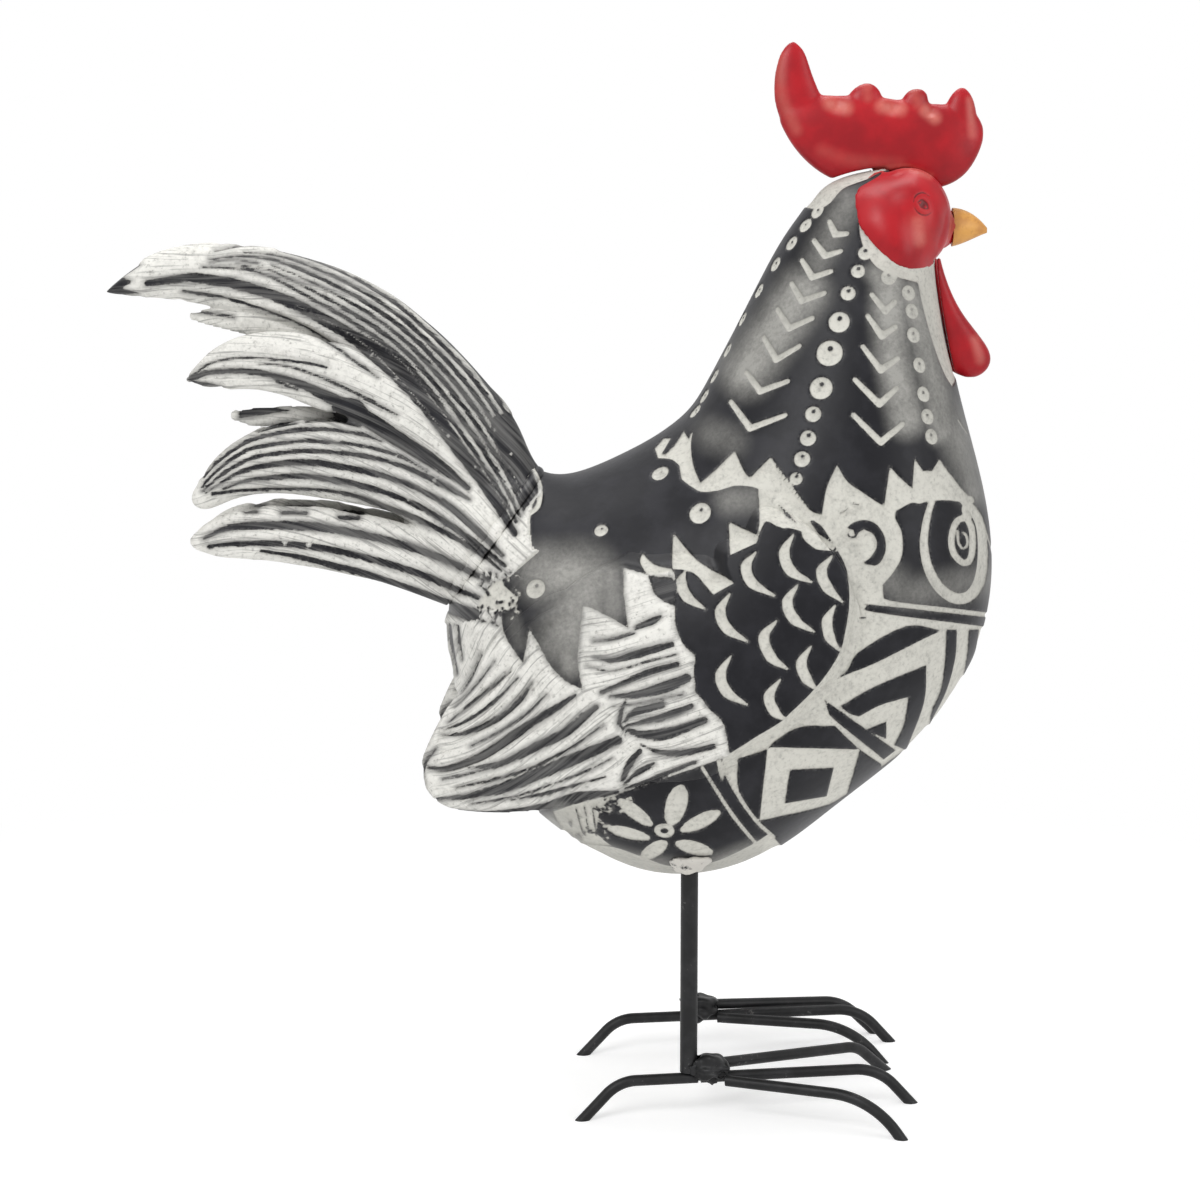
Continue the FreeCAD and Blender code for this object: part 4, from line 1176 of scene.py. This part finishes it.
def rubbed_paint(name):
    """Black glaze with a chalky white rubbed into the carving, and grey that is partly painted sheen and
    partly dry-brush rub.
    """
    paint = Finish(name)
    wash = paint.stored("wash")
    sheen_and_rub = paint.stored("sheen_and_rub")
    raised = paint.stored("raised")
    fine = paint.noise(900, 4, 0.65)
    broad = paint.noise(90, 4, 0.6)
    ragged = paint.noise(420, 3, 0.6)
    streak = paint.noise(1.0, 4, 0.68, paint.along_grain(1.5, 45))
    soft_streak = paint.noise(1.0, 2, 0.5, paint.along_grain(0.5, 20))
    edge = wash + (ragged - 0.5) * (0.36 + raised * 0.5) + (streak - 0.5) * raised * 1.3
    cover = edge.step(-0.12, 0.20)
    worn = (broad * 0.3 + ragged * 0.4 + fine * 0.6).step(0.54, 0.88) * 0.6
    chalk = paint.blend(raised, (0.57, 0.56, 0.51), (0.72, 0.71, 0.67))
    chalk = paint.blend(worn * (1 - raised * 0.3), chalk, (0.30, 0.295, 0.27))
    # The painted sheen and rub also turn the white a darker grey
    chalk = paint.blend(sheen_and_rub * 0.36, chalk, (0.22, 0.217, 0.205))
    specks = fine.step(0.58, 0.70) * (0.34 + raised * 0.26)
    chalk = paint.blend(specks, chalk, (0.24, 0.235, 0.22))
    # A thin dark line along the white's edge: partly a painted outline, partly painted shade where the
    # cut's wall is
    edge_line_and_shade = (0.55 - edge.size()).step(0.0, 0.55) * 0.40
    chalk = paint.blend(edge_line_and_shade, chalk, (0.30, 0.29, 0.26))
    hair = streak.step(0.52, 0.64) * raised * 0.62
    shade = (1.7 - wash).step(0.0, 1.7) * raised * (soft_streak * 2.2 - 0.55).above(0.0).below(1.0) * 0.8
    chalk = paint.blend(hair, chalk, (0.17, 0.168, 0.16))
    chalk = paint.blend(shade, chalk, (0.15, 0.148, 0.145))
    black = paint.blend(broad.step(0.4, 0.7), (0.0065, 0.0065, 0.0088), (0.015, 0.015, 0.0185))
    # Painted grey sheen, partly dry-brush rub, on the black
    grey = (sheen_and_rub * (0.30 + broad * 1.1) * (0.5 + fine * 1.2)).below(1.0)
    black = paint.blend(grey, black, (0.30, 0.295, 0.275))
    halo = (wash + 0.9).step(0.0, 0.9) * fine.step(0.45, 0.6) * 0.25
    black = paint.blend(halo, black, (0.20, 0.195, 0.185))
    caught = (soft_streak * 0.7 + streak * 0.5).step(0.5, 0.8) * raised * 0.6
    black = paint.blend(caught, black, (0.20, 0.197, 0.19))
    colour = paint.blend(cover, black, chalk)
    height = cover * (raised * 2 - 1) * 0.5 + fine * 0.10 + broad * 0.10 + streak * raised * 0.55
    paint.bump(height, 0.5, 0.00035)
    gloss = 0.36 + fine * 0.12 + cover * 0.24 + sheen_and_rub * 0.1
    return paint.wear(Base_Color=colour, Roughness=gloss, Specular_IOR_Level=0.18)


def red_paint(name):
    """Satin red, with painted pink highlights on the rims, painted highlights and paler rubs in spots, and
    fine brush marks.
    """
    paint = Finish(name)
    ink = paint.stored("wash")
    sheen_and_rub = paint.stored("sheen_and_rub")
    broad = paint.noise(70, 4, 0.6)
    fine = paint.noise(600, 4, 0.6)
    red = paint.blend(broad.step(0.35, 0.7), (0.385, 0.005, 0.011), (0.26, 0.003, 0.008))
    # Painted highlight: pinker where the surface turns away from the eye
    rim = (paint.rim(0.35) * 0.9 + (fine - 0.5) * 0.4).step(0.35, 0.95)
    red = paint.blend(rim * 0.45, red, (0.52, 0.09, 0.11))
    # Painted highlights, partly paler rubs, from the spots laid on the piece
    highlight_and_rub = (sheen_and_rub * (0.4 + broad * 0.8 + (fine - 0.5) * 0.6)).below(1.0)
    red = paint.blend(highlight_and_rub * 0.8, red, (0.60, 0.19, 0.15))
    red = paint.blend(ink.step(-0.15, 0.15) * 0.8, red, (0.05, 0.006, 0.008))
    paint.bump(fine * 0.2 + broad * 0.5, 0.25, 0.0003)
    return paint.wear(Base_Color=red, Roughness=0.32 + fine * 0.14, Specular_IOR_Level=0.29)


def beak_paint(name):
    """Ochre, uneven, with fine brown specks."""
    paint = Finish(name)
    fine = paint.noise(700, 4, 0.6)
    broad = paint.noise(160, 3, 0.6)
    ochre = paint.blend(broad.step(0.35, 0.65), (0.66, 0.33, 0.07), (0.50, 0.22, 0.045))
    ochre = paint.blend(fine.step(0.55, 0.75) * 0.4, ochre, (0.30, 0.10, 0.03))
    paint.bump(fine * 0.3 + broad * 0.3, 0.3, 0.0003)
    return paint.wear(Base_Color=ochre, Roughness=0.38 + fine * 0.15)


def steel_paint(name, light=0.010):
    """Black lacquer on steel, slightly orange-peeled, with worn spots."""
    paint = Finish(name)
    fine = paint.noise(800, 4, 0.6)
    broad = paint.noise(120, 4, 0.6)
    deep = (light * 0.7, light * 0.7, light * 0.75)
    pale = (light * 1.8, light * 1.8, light * 1.9)
    black = paint.blend(broad.step(0.4, 0.7), deep, pale)
    black = paint.blend((fine * broad).step(0.36, 0.44) * 0.5, black, (0.16, 0.155, 0.15))
    paint.bump(fine * 0.4 + broad * 0.4, 0.35, 0.0003)
    return paint.wear(Base_Color=black, Roughness=0.36 + fine * 0.18, Specular_IOR_Level=0.25)


def filler_paint(name, chalked):
    """Black filler, rough, with chalk caught on its lumps. The more it is chalked, the less black shows."""
    paint = Finish(name)
    fine = paint.noise(500, 5, 0.65)
    broad = paint.noise(150, 4, 0.6)
    black = paint.blend(broad.step(0.35, 0.7), (0.010, 0.010, 0.012), (0.035, 0.035, 0.036))
    black = paint.blend((fine * 0.6 + broad * 0.5 + chalked).step(0.58, 0.68), black, (0.52, 0.50, 0.46))
    paint.bump(fine * 0.8 + broad, 0.6, 0.0006)
    return paint.wear(Base_Color=black, Roughness=0.50 + fine * 0.2)


def cast_pieces():
    """Body, wings and tail with their carved pattern. Returns the body's surface.

    The body comes in two halves, so that neither has too many faces.
    """
    finish = rubbed_paint("rubbed_paint")
    body = even_copy("body_shell", "painted_body_right", BODY_VOXEL, hollow=True, rounds=6)
    right_half(body)
    paint_surface(body, (paint_flank, paint_breast, paint_neck, rub_sheen, carry_tail_on))
    flank = surface_of(body)
    twin = mirrored_copy(body, "painted_body_left")
    finish_piece(body, finish, "body_shell")
    finish_piece(twin, finish, "body_shell")
    wing = even_copy("wing_right", "painted_wing_right", WING_VOXEL)
    settle_wing(wing, flank)
    paint_surface(wing, (paint_flank, paint_breast, paint_wing_patch, rub_sheen))
    twin = mirrored_copy(wing, "painted_wing_left")
    finish_piece(wing, finish, "wing_right")
    finish_piece(twin, finish, "wing_left")
    tail = even_copy("tail", "painted_tail", TAIL_VOXEL, rounds=2)
    paint_surface(tail, (paint_tail,), TAIL_CUT)
    finish_piece(tail, finish, "tail")
    bead = even_copy("tail_filler", "painted_tail_filler", SEAM_VOXEL, rounds=2)
    squeeze(bead, corners(bead.data).mean(0), SEAM_SHARES)
    lump(bead, 5, 160, 0.15, 0.35)
    paint_surface(bead, (paint_flank, carry_tail_on), SEAM_CUT)
    finish_piece(bead, finish, "tail_filler")
    return flank


EYE_LINES = (
    (((1178, 178), (1195, 170), (1215, 185), (1222, 205)), (0.3, 0.7, 0.8, 0.3)),
    (((1180, 182), (1195, 200), (1222, 208)), (0.3, 0.6, 0.3)),
    (((1158, 180), (1170, 150), (1200, 138), (1230, 155)), (0.2, 0.45, 0.45, 0.2)),
    (((1160, 195), (1178, 222), (1210, 235), (1238, 222)), (0.2, 0.45, 0.45, 0.2)),
)
PUPIL = (1200, 188)
PUPIL_RADIUS = 0.75


def ink_face(pattern):
    """The incised eye: an almond and the wrinkles round it. The ink is where the pattern is white."""
    for places, widths in EYE_LINES:
        pattern.stroke(NECK_VIEW, places, widths, True, True)
    pattern.dot(NECK_VIEW, PUPIL, PUPIL_RADIUS)


# Painted highlights on the face and the wattle, and paler rubs with painted highlights on the comb: view,
# places, width in mm and strength
RED_HIGHLIGHTS_AND_RUBS = (
    (PHOTO_VIEW, ((830, 103), (846, 108)), 3.4, 0.9),
    (PHOTO_VIEW, ((882, 106), (900, 109)), 3.4, 0.9),
    (PHOTO_VIEW, ((925, 110), (935, 118)), 3.0, 0.8),
    (PHOTO_VIEW, ((918, 222), (922, 236)), 6.0, 0.2),
    (PHOTO_VIEW, ((865, 80), (868, 98)), 2.4, 0.4),
    (PHOTO_VIEW, ((912, 86), (918, 104)), 2.6, 0.4),
    (PHOTO_VIEW, ((779, 55), (781, 95), (796, 130)), 3.0, 0.42),
    (PHOTO_VIEW, ((822, 150), (850, 160), (900, 164)), 3.2, 0.22),
    (PHOTO_VIEW, ((970, 100), (972, 135)), 2.0, 0.5),
    (PHOTO_VIEW, ((918, 222), (920, 240)), 3.4, 0.75),
    (PHOTO_VIEW, ((870, 172), (900, 166), (930, 176)), 1.8, 0.5),
    (PHOTO_VIEW, ((975, 340), (980, 360)), 2.4, 0.5),
    (PHOTO_VIEW, ((845, 84), (860, 84), (870, 88)), 1.4, 0.4),
)
DENT_DEPTH = 0.9
COMB_DENTS = ((836, 106, 3.6), (892, 108, 3.4), (931, 111, 2.6))

FACE_EGG = (
    (912, 150), (928, 108), (972, 68), (1030, 40), (1110, 14), (1190, 16), (1262, 60), (1312, 120),
    (1345, 190), (1345, 260), (1322, 320), (1290, 395), (1245, 442), (1190, 466), (1110, 452),
    (1040, 404), (970, 334), (930, 272), (915, 205),
)
# A sheet carries the cheek back over the neck. In mm: how high it stands over the neck, how deep inside the
# outline it reaches that, how far it lies off the surface at its edge, and where that edge is, with less
# than 0 outside the outline
FACE_DOME = 2.3
DOME_RIM = 8
SKIN_LIFT = 0.2
SKIN_EDGE = -0.4
SKIN_THICKNESS = 4 * MM
# The sheet's points, in pixels of the photograph, and how often their depths are evened out
SKIN_PX = 1.5
EVEN_ROUNDS = 26


def around(values):
    """The sum over each place and its eight neighbours."""
    wide = np.pad(values, 1, mode="edge")
    rows, columns = values.shape
    return sum(wide[i:i + rows, j:j + columns] for i in range(3) for j in range(3))


def domed_skin(name, surfaces):
    """A sheet over the surfaces that the camera sees, domed inside the face's outline and closed behind."""
    outline = np.array(rounded(pixels(NECK_VIEW, FACE_EGG)))
    low, high = outline.min(0) - 2, outline.max(0) + 2
    columns, rows = np.ceil((high - low) / SKIN_PX).astype(int)
    spots = low + SKIN_PX * np.stack(np.meshgrid(np.arange(columns), np.arange(rows)), -1)
    rays = [[sight_line(spot) for spot in line] for line in spots]
    away = np.full((rows, columns), np.nan)
    for row in range(rows):
        for column in range(columns):
            hits = [surface.ray_cast(VIEWPOINT, rays[row][column])[3] for surface in surfaces]
            away[row, column] = min([hit for hit in hits if hit is not None], default=np.nan)
    seen = ~np.isnan(away)
    level = np.where(seen, away, 0)
    weight = seen.astype(float)
    for _ in range(EVEN_ROUNDS):
        count = around(weight)
        level = np.where(count > 0, around(level * weight) / np.maximum(count, TINY), 0)
        weight = (count > 0).astype(float)
    rays = np.array(rays)
    points = np.array(VIEWPOINT) + rays * level[..., None]
    depth = Pattern(points.reshape(-1, 3)).depth_in(outline).reshape(rows, columns)
    dome = (SKIN_LIFT + FACE_DOME * np.sqrt(eased(depth, SKIN_EDGE, DOME_RIM))) * MM
    points = np.array(VIEWPOINT) + rays * (level - dome)[..., None]
    mesh = bmesh.new()
    verts = [[mesh.verts.new(point) for point in line] for line in points]
    fits = seen & (depth > SKIN_EDGE)
    for row in range(rows - 1):
        for column in range(columns - 1):
            if fits[row:row + 2, column:column + 2].all():
                upper = verts[row][column:column + 2]
                lower = verts[row + 1][column:column + 2]
                mesh.faces.new((upper[0], lower[0], lower[1], upper[1]))
    bmesh.ops.delete(mesh, geom=[v for v in mesh.verts if not v.link_faces], context="VERTS")
    data = bpy.data.meshes.new(name)
    mesh.to_mesh(data)
    mesh.free()
    obj = new_object(name, data)
    apply_modifier(obj, "SOLIDIFY", thickness=SKIN_THICKNESS, offset=-1)
    return obj


def full_face(neck):
    """The face with its cheeks carried back over the neck, as one surface."""
    face = even_copy("face", "painted_face", RED_VOXEL, rounds=2)
    skin = domed_skin("cheek_right", (surface_of(face), neck))
    other = mirrored_copy(skin, "cheek_left")
    alone(face)
    skin.select_set(True)
    other.select_set(True)
    bpy.ops.object.join()
    even_out(face, RED_VOXEL, 10)
    return face


def red_highlights_and_rubs(pattern):
    """The painted highlights and paler rubs of the red pieces."""
    rub_sheen(pattern, RED_HIGHLIGHTS_AND_RUBS)


def dent_comb(pattern):
    """Soft hollows under the valleys between the horns."""
    for u, v, radius in COMB_DENTS:
        gap = np.linalg.norm(pattern.places - (u, v), axis=1) * pattern.pixel
        pattern.sunk = np.maximum(pattern.sunk, DENT_DEPTH * eased(radius - gap, 0, radius))


# The red nodes and how often their mesh is smoothed. The face is made another way
RED_PIECES = (("comb", 14), ("face", None), ("wattle_right", 3))


def red_pieces(neck):
    """Comb, face and wattles."""
    finish = red_paint("red_paint")
    painters = {"comb": (dent_comb, red_highlights_and_rubs), "face": (ink_face, red_highlights_and_rubs), "wattle_right": (red_highlights_and_rubs,)}
    for node, rounds in RED_PIECES:
        if node == "face":
            piece = full_face(neck)
        else:
            piece = even_copy(node, "painted_" + node, RED_VOXEL, rounds=rounds)
        paint_surface(piece, painters[node], RED_CUT)
        if node == "wattle_right":
            twin = mirrored_copy(piece, "painted_wattle_left")
            finish_piece(twin, finish, "wattle_left")
        finish_piece(piece, finish, node)


def kept_nodes():
    """Lumpy welds and collars, and the finish of the CAD nodes that stay as they are."""
    steel = steel_paint("leg_lacquer")
    filler = filler_paint("chalked_filler", 0.17)
    ochre = beak_paint("beak_paint")
    for side in SIDES:
        node = "weld_bead_" + side
        bead = even_copy(node, "lumpy_" + node, LUMP_VOXEL, rounds=2)
        squeeze(bead, corners(bead.data).mean(0) + WELD_MIDDLE, WELD_SHARES)
        lump(bead, 7, 380, 1.5, 0.1)
        shade_smooth(bead)
        finish_piece(bead, steel, node)
        node = "leg_collar_" + side
        cone = even_copy(node, "lumpy_" + node, LUMP_VOXEL, rounds=3)
        places = corners(cone.data)
        rim = (places.min(0) + places.max(0)) / 2
        rim[2] = places[:, 2].max()
        squeeze(cone, rim, COLLAR_SHARES)
        lump(cone, 3, 300, 0.7, 0.0)
        shade_smooth(cone)
        finish_piece(cone, filler, node)
    for name, node in NODES.items():
        if not node.hide_render:
            node.data.materials.clear()
            node.data.materials.append(ochre if name == "beak" else steel)


# Surroundings
WHITE = (1.0, 1.0, 1.0)
# Light that the surroundings throw on the object, where 1 is the white that shows behind it
WORLD_LIGHT = 0.32
# In m: the side of the floor, and the place that the lamps shine on
FLOOR_SIZE = 6
LAMPS_AIM = (0, 0, 0.18)


def white_ground():
    """White paper near the object, which turns into plain white light further out."""
    ground = Finish("white_ground")
    grain = ground.noise(40, 3, 0.5)
    colour = ground.blend(grain, (0.90, 0.90, 0.90), (0.93, 0.93, 0.93))
    ground.wear(Base_Color=colour, Roughness=0.8, Emission_Color=WHITE, Emission_Strength=0.34)
    away = ground.read("ShaderNodeVectorMath", "Value", {"operation": "LENGTH"}, {0: ground.place})
    glow = ground.read("ShaderNodeEmission", 0, None, {"Color": (*WHITE, 1), "Strength": 1.0})
    paper = Reading(ground, ground.shader.outputs[0])
    share = away.step(0.16, 0.42) * 0.75 + 0.25
    lit = ground.read("ShaderNodeMixShader", 0, None, {0: share, 1: paper, 2: glow})
    ground.set(ground.tree.nodes["Material Output"].inputs["Surface"], lit)
    return ground.material


def stage_and_light():
    """The white floor, and surroundings that look white but light the object softly."""
    bpy.ops.mesh.primitive_plane_add(size=FLOOR_SIZE, location=(0, 0, 0))
    floor = bpy.context.active_object
    floor.name = "floor"
    floor.data.materials.append(white_ground())
    world = bpy.data.worlds.new("studio")
    bpy.context.scene.world = world
    sky = Nodes(world)
    soft = sky.tree.nodes["Background"]
    white = sky.add("ShaderNodeBackground")
    for light, strength in ((soft, WORLD_LIGHT), (white, 1.0)):
        sky.set(light.inputs["Color"], (*WHITE, 1))
        sky.set(light.inputs["Strength"], strength)
    ray = sky.add("ShaderNodeLightPath")
    kinds = [Reading(sky, ray.outputs[f"Is {kind} Ray"]) for kind in ("Camera", "Glossy", "Transmission")]
    shown = kinds[0].above(kinds[1]).above(kinds[2])
    inputs = {0: shown, 1: Reading(sky, soft.outputs[0]), 2: Reading(sky, white.outputs[0])}
    mix = sky.read("ShaderNodeMixShader", 0, None, inputs)
    sky.set(sky.tree.nodes["World Output"].inputs["Surface"], mix)


def lamp(name, place, size, power):
    """A rectangular lamp that shines on the middle of the object."""
    light = bpy.data.lights.new(name, "AREA")
    light.shape = "RECTANGLE"
    light.size, light.size_y = size
    light.energy = power
    obj = new_object(name, light)
    obj.location = place
    obj.rotation_euler = (Vector(LAMPS_AIM) - Vector(place)).to_track_quat("-Z", "Y").to_euler()


def lamps_and_camera():
    """Three lamps, and the camera that took the photograph."""
    lamp("key", (-0.5, -0.9, 0.95), (0.6, 0.6), 9)
    lamp("fill", (0.9, -0.7, 0.5), (0.5, 0.8), 4)
    lamp("top", (0, 0.1, 1.1), (0.8, 0.5), 6)
    camera_data = bpy.data.cameras.new("camera")
    camera_data.sensor_width = FILM_MM
    camera_data.lens = FOCAL_PX * FILM_MM / PICTURE_PX
    camera = new_object("camera", camera_data)
    camera.location = VIEWPOINT
    camera.rotation_euler = (math.pi / 2 - PITCH, 0, 0)
    bpy.context.scene.camera = camera
    bpy.context.scene.view_settings.view_transform = "Standard"


red_pieces(cast_pieces())
kept_nodes()
stage_and_light()
lamps_and_camera()
